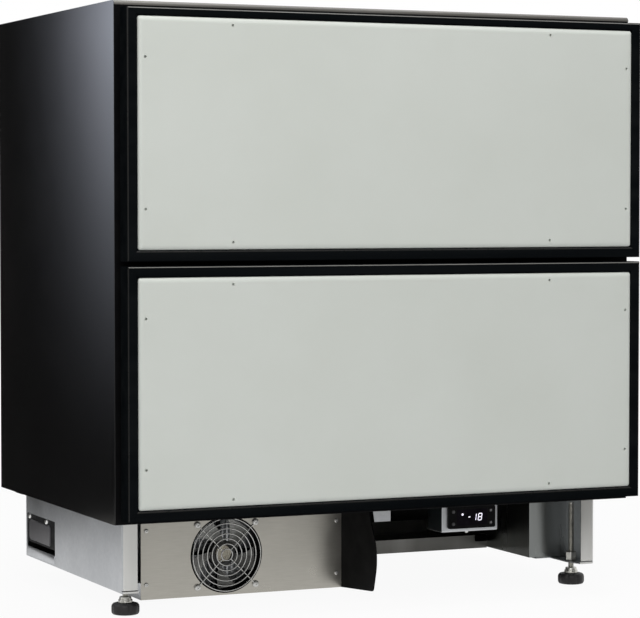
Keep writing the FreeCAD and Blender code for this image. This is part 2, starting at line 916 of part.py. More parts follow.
def unit_tray():
    """Pan that hangs from the cabinet and carries the condensing unit."""
    metal = size.base_metal
    right = -size.unit_right
    flange = size.unit_flange
    rear = rear_face - size.unit_rear_gap
    walls = [
        box((unit_left, panel_back, size.unit_floor), (right, rear, unit_floor_top)),
        box((unit_left, panel_back, size.unit_floor), (unit_left + metal, rear, cab_bottom)),
        box((right - metal, panel_back, size.unit_floor), (right, rear, cab_bottom)),
        box((unit_left, panel_back, cab_bottom - metal), (unit_left + flange, rear, cab_bottom)),
        box((right - flange, panel_back, cab_bottom - metal), (right, rear, cab_bottom)),
    ]
    node(join(walls), "unit_tray")


def panel_screw_places():
    """Corner screws of the fan panel."""
    inset = size.panel_screw_inset
    heights = (size.unit_floor + size.panel_screw_low, cab_bottom - size.panel_screw_high)
    return [(x, z) for x in (unit_left + inset, -size.unit_right - inset) for z in heights]


def guard_screw_places():
    reach = size.guard_holes / 2
    return [(fan_x + across, size.fan_z + up) for across in (-reach, reach) for up in (-reach, reach)]


def fan_panel():
    """Front sheet of the condensing unit with the fan's opening."""
    body = new_body("sheet_panel")
    sketch = sketch_on(body, "XZ_Plane", -panel_back)
    rectangle(sketch, (unit_left, size.unit_floor), (-size.unit_right, cab_bottom))
    circle(sketch, (fan_x, size.fan_z), size.fan_opening)
    for centre in panel_screw_places():
        circle(sketch, centre, size.screw_shank + size.screw_clear)
    for centre in guard_screw_places():
        circle(sketch, centre, size.guard_shank + size.screw_clear)
    pad(body, sketch, size.panel_metal)
    node(body, "fan_panel")


def fan_guard():
    """Welded wire guard: rings on four diagonal wires that end in screw eyes."""
    wire = size.guard_wire / 2
    eye_y = panel_front - wire
    ring_y = eye_y - size.guard_weld
    pieces = []
    for index in range(SIZES["guard_rings"]):
        pieces.append(wire_ring((fan_x, ring_y, size.fan_z), size.guard_first + size.guard_pitch * index))
    for x, z in guard_screw_places():
        pieces.append(wire_ring((x, eye_y, z), size.guard_eye))
    inner = size.guard_first
    reach = size.guard_holes * math.sqrt(0.5)
    for quarter in range(4):
        angle = math.radians(45 + 90 * quarter)
        spoke = doc.addObject("Part::Cylinder", "spoke")
        bind(spoke, "Radius", wire)
        bind(spoke, "Height", reach - size.guard_eye - inner)
        outward = FreeCAD.Vector(math.cos(angle), 0, math.sin(angle))
        aim = FreeCAD.Rotation(FreeCAD.Vector(0, 0, 1), outward)
        spoke.Placement = FreeCAD.Placement(FreeCAD.Vector(), aim)
        place(spoke, (fan_x + inner * outward.x, eye_y, size.fan_z + inner * outward.z))
        pieces.append(spoke)
    node(join(pieces), "fan_guard")


def wire_ring(centre, radius):
    """A ring of guard wire facing the front."""
    ring = doc.addObject("Part::Torus", "ring")
    bind(ring, "Radius1", radius)
    bind(ring, "Radius2", size.guard_wire / 2)
    ring.Placement = FreeCAD.Placement(FreeCAD.Vector(), TURNS["y"])
    return place(ring, centre)


def compressor():
    """Hermetic compressor on a foot plate with rubber grommets."""
    x = compressor_x
    y = size.compressor_y
    low = unit_floor_top + size.grommet_height
    can = new_body("can")
    place(can, (x, y, 0))
    ground = sketch_on(can, "XY_Plane", low)
    circle(ground, (0, 0), size.compressor_radius)
    block = pad(can, ground, size.compressor_height)
    rims = edges_where(block.Shape, lambda edge: isinstance(edge.Curve, Part.Circle))
    fillet(can, block, rims, size.compressor_round)
    half = size.foot_plate_width / 2
    deep = size.foot_plate_depth / 2
    plate = box((x - half, y - deep, low), (x + half, y + deep, low + size.foot_plate_thick))
    box_low = low + size.compressor_round
    out = x - size.compressor_radius - size.terminal_width
    reach = size.terminal_length / 2
    terminal = box((out, y - reach, box_low), (x, y + reach, box_low + size.terminal_height))
    node(join([can, plate, terminal]), "compressor")
    inset = size.grommet_inset
    grommets = []
    for across in (x - half + inset, x + half - inset):
        for along in (y - deep + inset, y + deep - inset):
            base = (across, along, unit_floor_top)
            grommets.append(cylinder(base, size.grommet_radius, size.grommet_height, "z"))
    node(group(grommets), "compressor_grommets")


def vector(point):
    return FreeCAD.Vector(*(Formula.of(value).number for value in point))


def toward(point, target, distance):
    """A point moved by a distance along the one axis on which its target differs."""
    moved = []
    for value, goal in zip(point, target):
        value = Formula.of(value)
        gap = (Formula.of(goal) - value).number
        if abs(gap) < 1e-6:
            moved.append(value)
        else:
            moved.append(value + distance if gap > 0 else value - distance)
    return tuple(moved)


def straight_run(first, second, radius):
    """A round bar between two points that differ along one axis."""
    gaps = [Formula.of(end) - start for start, end in zip(first, second)]
    along = max(range(3), key=lambda index: abs(gaps[index].number))
    length = gaps[along]
    if length.number < 0:
        return cylinder(second, radius, -length, "xyz"[along])
    return cylinder(first, radius, length, "xyz"[along])


def tube(start, corner, end):
    """A bent refrigerant tube: two straight runs joined by a quarter of a ring."""
    entry = toward(corner, start, size.pipe_bend)
    leave = toward(corner, end, size.pipe_bend)
    centre = tuple(Formula.of(a) + b - c for a, b, c in zip(entry, leave, corner))
    elbow = doc.addObject("Part::Torus", "elbow")
    bind(elbow, "Radius1", size.pipe_bend)
    bind(elbow, "Radius2", size.pipe_radius)
    elbow.Angle3 = 90
    first = vector(entry) - vector(centre)
    last = vector(leave) - vector(centre)
    turn = FreeCAD.Rotation(first, last, first.cross(last), "XYZ")
    elbow.Placement = FreeCAD.Placement(FreeCAD.Vector(), turn)
    place(elbow, centre)
    runs = [straight_run(first_end, last_end, size.pipe_radius)
            for first_end, last_end in ((start, entry), (leave, end))]
    return join([runs[0], elbow, runs[1]])


def refrigerant_pipes(coil_back):
    """Discharge, suction and liquid lines; the liquid line holds the drier."""
    x = compressor_x
    y = size.compressor_y
    z = unit_floor_top + size.pipe_height
    radius = size.compressor_radius
    out = x + radius + size.pipe_reach
    behind = y + radius + size.pipe_reach
    liquid_x = x - radius - 2 * size.pipe_reach
    liquid_y = coil_back + size.pipe_reach
    liquid_z = unit_floor_top + size.liquid_height
    discharge = tube((x + radius, y, z), (out, y, z), (out, coil_back, z))
    suction = tube((x, y + radius, z), (x, behind, z), (x, behind, cab_bottom))
    liquid_turn = (liquid_x, liquid_y, liquid_z)
    liquid = tube((liquid_x, coil_back, liquid_z), liquid_turn, (liquid_x, liquid_y, cab_bottom))
    drier_foot = (liquid_x, liquid_y, unit_floor_top + size.drier_rise)
    drier = cylinder(drier_foot, size.drier_radius, size.drier_length, "z")
    node(group([discharge, suction, join([liquid, drier])]), "refrigerant_pipes")


def cooling_unit():
    """Everything on the unit tray."""
    axial_fan("condenser", fan_x, size.fan_z, panel_back, size.fan_size, size.fan_depth,
              size.fan_bore, size.fan_hub, size.fan_tip, size.fan_sweep, size.guard_holes)
    coil_front = panel_back + size.fan_depth + size.hot_coil_gap
    coil_back = coil_front + size.hot_coil_depth
    margin = size.hot_coil_margin
    finned_coil("condenser_coil", (unit_left + margin, coil_front, unit_floor_top),
                (-size.unit_right - margin, coil_back, unit_floor_top + size.hot_coil_height))
    compressor()
    refrigerant_pipes(coil_back)


def air_baffle():
    """Upright plate beside the fan panel: a lap along the unit and a flared wing with a bowed edge."""
    left = -size.unit_right
    low = size.unit_floor
    tip = (-size.baffle_reach, low + size.baffle_tip_rise)
    crown = (-size.baffle_crown_reach, low + size.baffle_crown_rise)
    hinge = Formula.of(0)
    points = [tip, (hinge, low), (hinge, cab_bottom), (-size.baffle_top_reach, cab_bottom), crown]
    body = padded_outline("wing", "YZ_Plane", points, 0, size.baffle_thick)
    for corner, radius in ((crown, size.baffle_round), (tip, size.baffle_tip_round)):
        spot = FreeCAD.Vector(0, corner[0].number, corner[1].number)
        names = edges_where(body.Shape, lambda edge: runs_along(edge, 0) and
                            math.hypot(edge.CenterOfMass.y - spot.y, edge.CenterOfMass.z - spot.z) < 1e-4)
        fillet(body, body.Tip, names, radius)
    upright = FreeCAD.Vector(0, 0, 1)
    body.Placement = FreeCAD.Placement(FreeCAD.Vector(), FreeCAD.Rotation(upright, SIZES["baffle_flare"]))
    bind(body, "Placement.Rotation.Angle", size.baffle_flare)
    place(body, (left, panel_front, 0))
    lap = box((left, panel_front, low), (left + size.baffle_thick, panel_back + size.baffle_lap, cab_bottom))
    node(join([body, lap]), "air_baffle")


def right_side():
    """Evaporation tray, electrics cover and hanging tab."""
    metal = size.base_metal
    left = -size.unit_right
    front = cab_front + size.tray_front
    tray_top = base_low + size.tray_height
    pan = box((left, front, base_low), (electrics_left, rear_face, tray_top))
    hollow = box((left + metal, front + metal, base_low + metal),
                 (electrics_left - metal, rear_face - metal, tray_top))
    node(cut(pan, [hollow]), "evaporation_tray")
    cover = join([
        box((electrics_left, panel_front, base_low + metal),
            (plate_in, panel_front + metal, cab_bottom - metal)),
        box((electrics_left, panel_front, base_low), (electrics_left + metal, rear_face, cab_bottom)),
    ])
    node(cover, "electrics_cover")
    tab_front = cab_front + size.tab_setback
    tab_back = tab_front + metal
    right = size.tab_x + size.tab_width
    notch_left = size.tab_x + size.tab_width / 2 - size.tab_notch / 2
    tab = box((size.tab_x, tab_front, cab_bottom - size.tab_drop), (right, tab_back, cab_bottom))
    notch = box((notch_left, tab_front, cab_bottom - size.tab_notch),
                (notch_left + size.tab_notch, tab_back, cab_bottom))
    node(cut(tab, [notch]), "hanging_tab")


def controller():
    """Bracket under the cabinet with the temperature controller, its lens and four buttons."""
    metal = size.panel_metal
    left = size.bracket_left
    right = left + size.bracket_width
    front = cab_front + size.bracket_setback
    rear = front + size.bracket_depth
    flange_back = front + size.bracket_flange
    low = cab_bottom - size.bracket_drop
    x = left + size.case_offset
    z = cab_bottom - size.case_drop
    half_body = size.case_body_width / 2
    half_tall = size.case_body_height / 2
    gap = size.case_clear
    walls = join([
        box((left, front, low), (right, front + metal, cab_bottom)),
        box((left, front, low), (left + metal, flange_back, cab_bottom)),
        box((right - metal, front, low), (right, flange_back, cab_bottom)),
        box((left, front, low), (right, rear, low + metal)),
    ])
    window = box((x - half_body - gap, front, z - half_tall - gap),
                 (x + half_body + gap, front + metal, z + half_tall + gap))
    screw_x, screw_y = bracket_screw_place()
    hole = cylinder((screw_x, screw_y, low), size.screw_shank + size.screw_clear, metal, "z")
    node(cut(walls, [window, hole]), "controller_bracket")

    lip_front = front - size.case_lip
    wide = size.case_width / 2
    tall = size.case_height / 2
    lip = new_body("lip")
    sketch = sketch_on(lip, "XZ_Plane", -front)
    rectangle(sketch, (x - wide, z - tall), (x + wide, z + tall))
    block = pad(lip, sketch, size.case_lip)
    fillet(lip, block, edges_where(block.Shape, lambda edge: runs_along(edge, 1)), size.case_corner)
    trunk_back = front + size.case_body_depth
    trunk = box((x - half_body, front, z - half_tall), (x + half_body, trunk_back, z + half_tall))
    lens_low = (x - size.lens_width / 2, lip_front, z - size.lens_height / 2)
    lens_high = (x + size.lens_width / 2, lip_front + size.lens_thick, z + size.lens_height / 2)
    recess = [box(lens_low, lens_high)]
    places = {
        "upper_left": (x - size.button_half_width, z + size.button_half_height),
        "lower_left": (x - size.button_half_width, z - size.button_half_height),
        "upper_right": (x + size.button_half_width, z + size.button_half_height),
        "lower_right": (x + size.button_half_width, z - size.button_half_height),
    }
    well_radius = size.button_radius + size.button_clear
    for across, up in places.values():
        recess.append(cylinder((across, lip_front, up), well_radius, size.button_well, "y"))
    node(cut(join([lip, trunk]), recess), "controller_case")
    node(box(lens_low, lens_high), "display_lens")
    for name, (across, up) in places.items():
        start = (across, lip_front - size.button_proud, up)
        length = size.button_proud + size.button_depth
        node(cylinder(start, size.button_radius, length, "y"), f"button_{name}")


def bracket_screw_place():
    """Middle of the screw in the bracket's lower wall."""
    x = size.bracket_left + size.bracket_width / 2
    return x, cab_front + size.bracket_setback + size.bracket_screw_setback


def feet():
    """Levelling feet: a plastic pad and a threaded stem each, with a nut on the sheet that carries it."""
    nuts = []
    for name, x, y in foot_places():
        pad_body = new_body("pad")
        place(pad_body, (x, y, 0))
        ground = sketch_on(pad_body, "XY_Plane")
        circle(ground, (0, 0), size.pad_radius)
        block = pad(pad_body, ground, size.pad_height)
        rims = edges_where(block.Shape, lambda edge: isinstance(edge.Curve, Part.Circle))
        fillet(pad_body, block, rims, size.pad_round)
        collar = cylinder((x, y, size.pad_height), size.collar_radius, size.collar_height, "z")
        rod_top = cab_bottom - size.rod_top_clear
        rod = cylinder((x, y, size.pad_height), size.rod_radius, rod_top - size.pad_height, "z")
        node(group([pad_body, join([collar, rod])]), f"{name}_foot")
        blank = doc.addObject("Part::Prism", "nut")
        blank.Polygon = 6
        bind(blank, "Circumradius", size.nut_radius)
        bind(blank, "Height", size.nut_height)
        seat = (x, y, base_low + size.base_metal)
        place(blank, seat)
        nuts.append(cut(blank, [cylinder(seat, size.rod_radius + size.rod_clear, size.nut_height, "z")]))
    node(group(nuts), "foot_nuts")


def screw(face, axis, head, shank, length):
    """A pan-head screw whose head sits on a face and whose shank runs along the axis."""
    place_of = "xyz".index(axis)
    height = size.screw_head_height
    top = tuple(value - height if index == place_of else value for index, value in enumerate(face))
    return join([cylinder(top, head, height, axis), cylinder(top, shank, length + height, axis)])


def screws():
    """Panel, cover and bracket screws, and the longer screws of the fan guard."""
    small = (size.screw_head, size.screw_shank, size.screw_length)
    fasteners = [screw((x, panel_front, z), "y", *small) for x, z in panel_screw_places()]
    height, depths = cover_screw_places()
    for depth in depths:
        left = screw((-plate_in, depth, height), "x", *small)
        fasteners += [left, mirrored(left)]
    x, y = bracket_screw_place()
    fasteners.append(screw((x, y, cab_bottom - size.bracket_drop), "z", *small))
    node(group(fasteners), "panel_screws")
    large = (size.guard_head, size.guard_shank, size.guard_screw_length)
    eye_front = panel_front - size.guard_wire
    node(group([screw((x, eye_front, z), "y", *large) for x, z in guard_screw_places()]), "guard_screws")


cabinet_skins()
cabinet_inside()
drawers()
evaporator()
side_plates()
rear_panel()
unit_tray()
fan_panel()
fan_guard()
cooling_unit()
air_baffle()
right_side()
controller()
feet()
screws()
doc.recompute()

for item in doc.Objects:
    if "Invalid" in item.State or "Error" in item.State:
        raise RuntimeError(f"{item.Name} ({item.Label}) failed: {item.State}")
for piece in nodes:
    if piece.Shape.isNull() or not piece.Shape.isValid():
        raise RuntimeError(f"{piece.Label} has no valid shape")

os.makedirs("parts", exist_ok=True)
for piece in nodes:
    piece.Shape.exportStep(f"parts/{piece.Label}.step")
print(len(nodes), "parts written")
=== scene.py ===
import json
import math

import bmesh
import bpy
from mathutils import Matrix, Vector


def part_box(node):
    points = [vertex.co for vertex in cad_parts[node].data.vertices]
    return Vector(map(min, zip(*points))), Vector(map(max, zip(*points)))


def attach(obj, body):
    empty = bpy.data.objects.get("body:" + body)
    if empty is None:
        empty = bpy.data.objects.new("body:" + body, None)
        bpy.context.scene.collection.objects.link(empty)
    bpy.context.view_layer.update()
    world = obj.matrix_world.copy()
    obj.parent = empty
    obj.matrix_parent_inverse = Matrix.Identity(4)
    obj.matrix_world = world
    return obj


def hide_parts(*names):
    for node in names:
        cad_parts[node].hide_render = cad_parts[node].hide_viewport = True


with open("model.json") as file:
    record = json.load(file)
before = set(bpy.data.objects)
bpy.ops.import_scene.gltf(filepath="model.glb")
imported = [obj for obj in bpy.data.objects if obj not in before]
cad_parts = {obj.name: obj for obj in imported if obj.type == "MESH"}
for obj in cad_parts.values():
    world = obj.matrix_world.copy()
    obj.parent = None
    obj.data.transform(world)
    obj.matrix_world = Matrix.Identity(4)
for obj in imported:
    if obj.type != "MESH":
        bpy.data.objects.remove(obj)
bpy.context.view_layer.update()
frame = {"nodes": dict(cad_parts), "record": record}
nodes = frame["nodes"]
scene = bpy.context.scene

MM = 0.001
SIDES = (-1, 1)
CORNERS = [(across, up) for across in SIDES for up in SIDES]
FORWARD = (0, -1, 0)
WHITE = (1, 1, 1, 1)
DRAWERS = ("upper", "lower")
FEET = ("front_left_foot", "front_right_foot", "rear_left_foot", "rear_right_foot")
BUTTONS = ("button_upper_left", "button_lower_left", "button_upper_right", "button_lower_right")
BACK_PRESS = 1.6 * MM
GUARD_WIRE = 1 * MM
GUARD_HEAD = 5
SMALL_ROUND = 4
finishes = {}


def add(tree, kind, inputs, **settings):
    """A shader node; outputs among its inputs are linked, and other values are set."""
    made = tree.nodes.new(kind)
    for key, value in settings.items():
        setattr(made, key, value)
    for key, value in inputs.items():
        if isinstance(value, bpy.types.NodeSocket):
            tree.links.new(value, made.inputs[key])
        else:
            made.inputs[key].default_value = value
    return made


def combine(tree, operation, first, second):
    """The result of a sum, product, power or maximum of two values."""
    return add(tree, "ShaderNodeMath", {0: first, 1: second}, operation=operation).outputs["Value"]


def new_material(name, values):
    """A material with constant surface values, its nodes and its surface."""
    material = bpy.data.materials.new(name)
    material.use_nodes = True
    surface = material.node_tree.nodes["Principled BSDF"]
    for key, value in values.items():
        surface.inputs[key].default_value = value
    return material, material.node_tree, surface


class Shader:
    """One procedural material, with short ways to vary it over the surface."""

    def __init__(self, name, metallic=0.0, specular=0.5):
        values = {"Metallic": metallic, "Specular IOR Level": specular}
        self.material, self.tree, self.surface = new_material(name, values)
        self.place = add(self.tree, "ShaderNodeTexCoord", {}).outputs["Object"]
        finishes[name] = self.material

    def noise(self, scale, detail=3.0, stretch=(1, 1, 1)):
        """Cloudy variation, drawn out along the axes whose stretch is small."""
        mapping = add(self.tree, "ShaderNodeMapping", {"Scale": stretch, "Vector": self.place})
        inputs = {"Scale": scale, "Detail": detail, "Vector": mapping.outputs["Vector"]}
        return add(self.tree, "ShaderNodeTexNoise", inputs).outputs["Fac"]

    def cells(self, scale):
        """Flat patches with one random grey each."""
        texture = add(self.tree, "ShaderNodeTexVoronoi", {"Scale": scale, "Vector": self.place})
        return add(self.tree, "ShaderNodeRGBToBW", {"Color": texture.outputs["Color"]}).outputs["Val"]

    def ranged(self, value, low, high, start=0.3, end=0.7):
        """Stretches the middle of a varying value over a range."""
        inputs = {"From Min": start, "From Max": end, "To Min": low, "To Max": high, "Value": value}
        return add(self.tree, "ShaderNodeMapRange", inputs).outputs["Result"]

    def averaged(self, first, second):
        return combine(self.tree, "MULTIPLY", combine(self.tree, "ADD", first, second), 0.5)

    def colour(self, factor, first, second, socket="Base Color"):
        """Blends two colours by a varying factor."""
        mix = add(self.tree, "ShaderNodeMix", {}, data_type="RGBA")
        start, end = [item for item in mix.inputs if item.type == "RGBA"]
        start.default_value = (*first, 1)
        end.default_value = (*second, 1)
        self.tree.links.new(factor, mix.inputs["Factor"])
        result = next(item for item in mix.outputs if item.type == "RGBA")
        self.tree.links.new(result, self.surface.inputs[socket])

    def roughness(self, value, low, high):
        self.tree.links.new(self.ranged(value, low, high), self.surface.inputs["Roughness"])

    def bump(self, height, strength, distance):
        inputs = {"Strength": strength, "Distance": distance, "Height": height}
        relief = add(self.tree, "ShaderNodeBump", inputs)
        self.tree.links.new(relief.outputs["Normal"], self.surface.inputs["Normal"])


def finish(name, first, second, rough, metallic=0.0, specular=0.5, grain=30, stretch=(1, 1, 1),
           relief=(900, 0.1, 0.0002), relief_stretch=(1, 1, 1)):
    """Colour and roughness that drift between two values, over a fine relief."""
    finer = 2.3
    shader = Shader(name, metallic, specular)
    shader.colour(shader.ranged(shader.noise(grain, 4, stretch), 0, 1), first, second)
    shader.roughness(shader.noise(grain * finer, 3, stretch), *rough)
    scale, strength, distance = relief
    shader.bump(shader.noise(scale, 2, relief_stretch), strength, distance)


def galvanised():
    """Zinc-dipped sheet: crystal patches under fine rolling lines."""
    shader = Shader("galvanised", metallic=1.0)
    patches = shader.averaged(shader.cells(170), shader.noise(24, 4, (1, 1, 0.2)))
    shader.colour(shader.ranged(patches, 0, 1, 0.2, 0.8), (0.475, 0.488, 0.506), (0.535, 0.548, 0.563))
    shader.roughness(shader.noise(11, 3, (1, 1, 0.3)), 0.34, 0.44)
    shader.bump(shader.noise(500, 3, (1, 1, 0.06)), 0.05, 0.0002)


def stainless():
    """Brushed steel with long fine lines and faint cloudy patches."""
    shader = Shader("stainless", metallic=1.0)
    lines = shader.noise(600, 4, (0.06, 1, 1))
    clouds = shader.noise(26, 3)
    blend = shader.ranged(shader.averaged(lines, clouds), 0, 1)
    shader.colour(blend, (0.405, 0.39, 0.35), (0.475, 0.46, 0.415))
    shader.roughness(clouds, 0.27, 0.36)
    shader.bump(lines, 0.05, 0.0001)


def lit_digits():
    """Glowing display segments, with a faint cloudy change of brightness."""
    shader = Shader("display_light")
    glow = shader.ranged(shader.noise(160, 2), 0, 1)
    shader.colour(glow, (0.75, 0.72, 0.9), (0.95, 0.93, 1.0))
    shader.colour(glow, (0.78, 0.74, 0.95), (1.0, 0.98, 1.0), "Emission Color")
    shader.surface.inputs["Emission Strength"].default_value = 0.9
    shader.roughness(shader.noise(300), 0.4, 0.5)


# The finish of every slot.
galvanised()
stainless()
finish("black_steel", (0.0085, 0.0083, 0.0085), (0.0115, 0.0113, 0.0115), (0.155, 0.175), grain=6,
       relief=(1400, 0.02, 0.0001))
finish("foam", (0.72, 0.62, 0.36), (0.82, 0.74, 0.5), (0.85, 0.95), relief=(700, 0.5, 0.0006))
finish("liner_plastic", (0.64, 0.66, 0.66), (0.7, 0.72, 0.72), (0.25, 0.35), grain=9)
finish("bin_plastic", (0.62, 0.645, 0.65), (0.7, 0.725, 0.73), (0.3, 0.42), grain=12,
       relief=(1600, 0.08, 0.0002))
finish("front_frame", (0.003, 0.0038, 0.0045), (0.006, 0.007, 0.0078), (0.5, 0.58), specular=0.0, grain=40,
       stretch=(0.05, 1, 1), relief=(1200, 0.05, 0.0001))
finish("carrier_plate", (0.575, 0.605, 0.57), (0.60, 0.63, 0.60), (0.36, 0.44), grain=5,
       relief=(1100, 0.05, 0.0001))
finish("seal_rubber", (0.002, 0.002, 0.002), (0.005, 0.005, 0.005), (0.65, 0.8), specular=0.03,
       relief=(1500, 0.25, 0.0003))
finish("rail_steel", (0.5, 0.51, 0.53), (0.62, 0.63, 0.64), (0.3, 0.42), metallic=1.0, grain=80,
       stretch=(1, 0.1, 1), relief=(600, 0.06, 0.0001), relief_stretch=(1, 0.05, 1))
# Dark sheet of the tray and the electrics: its darkness is partly the sheet's coat and partly painted shade
# under the cabinet.
finish("dark_sheet", (0.16, 0.16, 0.148), (0.23, 0.227, 0.215), (0.28, 0.38), metallic=0.7, grain=18,
       stretch=(1, 1, 0.1), relief=(700, 0.05, 0.0001))
finish("bright_wire", (0.48, 0.48, 0.465), (0.58, 0.58, 0.56), (0.2, 0.32), metallic=1.0, grain=120)
finish("zinc", (0.52, 0.515, 0.48), (0.68, 0.67, 0.62), (0.28, 0.42), metallic=1.0, grain=150)
finish("black_plastic", (0.004, 0.004, 0.0045), (0.009, 0.009, 0.0095), (0.42, 0.55), specular=0.05,
       relief=(1800, 0.18, 0.0002))
finish("fan_grey", (0.38, 0.38, 0.365), (0.48, 0.48, 0.465), (0.36, 0.5), metallic=0.3, grain=70)
finish("fin_aluminium", (0.6, 0.61, 0.62), (0.74, 0.75, 0.76), (0.3, 0.42), metallic=1.0,
       stretch=(1, 1, 0.1))
finish("compressor_paint", (0.010, 0.010, 0.012), (0.022, 0.022, 0.024), (0.18, 0.3),
       relief=(400, 0.1, 0.0003))
finish("copper", (0.62, 0.33, 0.2), (0.78, 0.47, 0.31), (0.24, 0.4), metallic=1.0, grain=90)
finish("display", (0.004, 0.003, 0.006), (0.010, 0.008, 0.013), (0.08, 0.16), specular=0.12, grain=60,
       relief=(300, 0.01, 0.0001))
finish("button_grey", (0.03, 0.03, 0.032), (0.05, 0.05, 0.052), (0.4, 0.5), grain=200)

# Finishes of single pieces.
lit_digits()
# A darker, duller copy of the black steel: painted shade for faces in shade behind the fronts and under the
# cabinet.
finish("painted_shade_black", (0.0025, 0.0025, 0.003), (0.005, 0.005, 0.0055), (0.5, 0.6), specular=0.03)
# A mid grey for the top sheet's front bend, lighter than the black sheet.
finish("top_bend_grey", (0.07, 0.067, 0.06), (0.105, 0.1, 0.092), (0.36, 0.46), metallic=0.25, grain=50,
       stretch=(0.1, 1, 1))
finish("frame_edge", (0.004, 0.0042, 0.004), (0.007, 0.0072, 0.007), (0.26, 0.34), specular=0.3, grain=60)
# A mid grey for the top bar's outer front edge: a painted highlight.
finish("painted_top_highlight", (0.19, 0.19, 0.18), (0.25, 0.25, 0.24), (0.3, 0.4), metallic=0.2, grain=60,
       stretch=(0.05, 1, 1))
finish("pad_rubber", (0.02, 0.0195, 0.02), (0.034, 0.033, 0.034), (0.45, 0.58), specular=0.3)
finish("fan_motor", (0.03, 0.03, 0.029), (0.05, 0.05, 0.048), (0.4, 0.5), grain=90)
finish("hub_cap", (0.8, 0.74, 0.6), (0.9, 0.84, 0.7), (0.4, 0.55), grain=160)
finish("screw_steel", (0.55, 0.55, 0.53), (0.7, 0.7, 0.68), (0.3, 0.42), metallic=0.8, grain=180)
finish("bolt_zinc", (0.76, 0.76, 0.74), (0.88, 0.88, 0.86), (0.24, 0.34), metallic=0.9, grain=180)
finish("button_mark_dim", (0.06, 0.06, 0.065), (0.09, 0.09, 0.095), (0.4, 0.5), grain=300)
finish("button_mark_pale", (0.28, 0.28, 0.29), (0.38, 0.38, 0.39), (0.4, 0.5), grain=300)
finish("cover_grey", (0.036, 0.034, 0.04), (0.052, 0.05, 0.057), (0.3, 0.4), grain=14)
# A darker copy of the galvanised for the electrics cover: painted shade.
finish("electrics_shade_steel", (0.2, 0.21, 0.205), (0.27, 0.28, 0.275), (0.26, 0.34), metallic=1.0, grain=18,
       stretch=(1, 1, 0.1))
# Near black for the bracket's side walls: painted shade on the galvanised sheet.
finish("bracket_side_shade", (0.011, 0.014, 0.015), (0.02, 0.024, 0.025), (0.34, 0.44), specular=0.2)
# A lighter copy of the galvanised for the posts' fronts: a painted reflection.
finish("post_front_sheen", (0.61, 0.61, 0.59), (0.71, 0.71, 0.69), (0.34, 0.44), metallic=1.0, grain=24,
       stretch=(1, 1, 0.2))


def dress_frame():
    """Gives every node of the frame the finish of its slot."""
    for part in frame["record"]["subparts"]:
        thing = nodes[part["node"]]
        if not thing.material_slots:
            thing.data.materials.append(None)
        for holder in thing.material_slots:
            holder.material = finishes[part["material_slot"]]


def soften(name, width, segments=2):
    """Rounds a node's sharp edges by a small radius."""
    thing = nodes[name]
    joined = thing.modifiers.new("weld", "WELD")
    joined.merge_threshold = 0.01 * MM
    bevel = thing.modifiers.new("edges", "BEVEL")
    bevel.width = width * MM
    bevel.segments = segments
    bevel.limit_method = "ANGLE"
    bevel.angle_limit = math.radians(40)
    bevel.harden_normals = True


def spans(name):
    """A node's two corners, its middle, and half its width and height."""
    low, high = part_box(name)
    return low, high, (low + high) / 2, (high.x - low.x) / 2, (high.z - low.z) / 2


def bridge(bm, loops, around=True, first_cap=False, last_cap=False):
    """Quads between rows of points, closed around and capped where asked."""
    rows = [[bm.verts.new(point) for point in loop] for loop in loops]
    for row, following in zip(rows, rows[1:]):
        count = len(row)
        for index in range(count if around else count - 1):
            other = (index + 1) % count
            bm.faces.new((row[index], row[other], following[other], following[index]))
    if first_cap:
        bm.faces.new(rows[0])
    if last_cap:
        bm.faces.new(rows[-1])
    return rows


def solid(bm, loops):
    """Closed rows of points, capped at both ends."""
    bridge(bm, loops, first_cap=True, last_cap=True)


def weld(bm, reach=1e-7):
    """Joins points that coincide."""
    bmesh.ops.remove_doubles(bm, verts=bm.verts, dist=reach)


def rim_edges(bm, row):
    """The edges round a closed row of points."""
    return [bm.edges.get((row[index - 1], row[index])) for index in range(len(row))]


def fill(bm, edges):
    """A flat face inside closed rims, open where they are holes."""
    bmesh.ops.triangle_fill(bm, use_beauty=True, use_dissolve=False, edges=edges)


def split(bm, test):
    """Gives the second finish to the faces whose middle passes a test."""
    for face in bm.faces:
        face.material_index = int(test(face.calc_center_median()))


def angles(steps):
    """Even steps once round a circle."""
    return [2 * math.pi * step / steps for step in range(steps)]


def turned(bm, profile, centre, axis=(0, 0, 1), segments=48, shape=None):
    """Radius and height pairs swept about an axis; shape may vary the radius by angle."""
    where = Matrix.Translation(centre) @ Vector(axis).to_track_quat("Z", "Y").to_matrix().to_4x4()
    loops = []
    for radius, height in profile:
        loop = []
        for angle in angles(segments):
            reach = shape(radius, angle) if shape else radius
            loop.append(where @ Vector((reach * math.cos(angle), reach * math.sin(angle), height)))
        loops.append(loop)
    solid(bm, loops)


def millimetres(profile):
    return [(radius * MM, height * MM) for radius, height in profile]


def hexagon(radius, angle):
    """Radius of a hexagon with the given corner radius."""
    step = math.pi / 3
    return radius * math.cos(step / 2) / math.cos(angle % step - step / 2)


def wire(bm, points, radius, closed=False, sides=12):
    """A round wire through points that lie in one upright plane facing the front."""
    count = len(points)
    depth = Vector((0, 1, 0))
    loops = []
    for index, point in enumerate(points):
        before = points[index - 1] if closed or index else point
        after = points[(index + 1) % count] if closed or index < count - 1 else point
        side = (after - before).normalized().cross(depth).normalized()
        loop = []
        for angle in angles(sides):
            loop.append(point + side * radius * math.cos(angle) + depth * radius * math.sin(angle))
        loops.append(loop)
    if closed:
        bridge(bm, loops + loops[:1])
        weld(bm)
    else:
        solid(bm, loops)


def put(name, data):
    """A new object in the scene."""
    made = bpy.data.objects.new(name, data)
    scene.collection.objects.link(made)
    return made


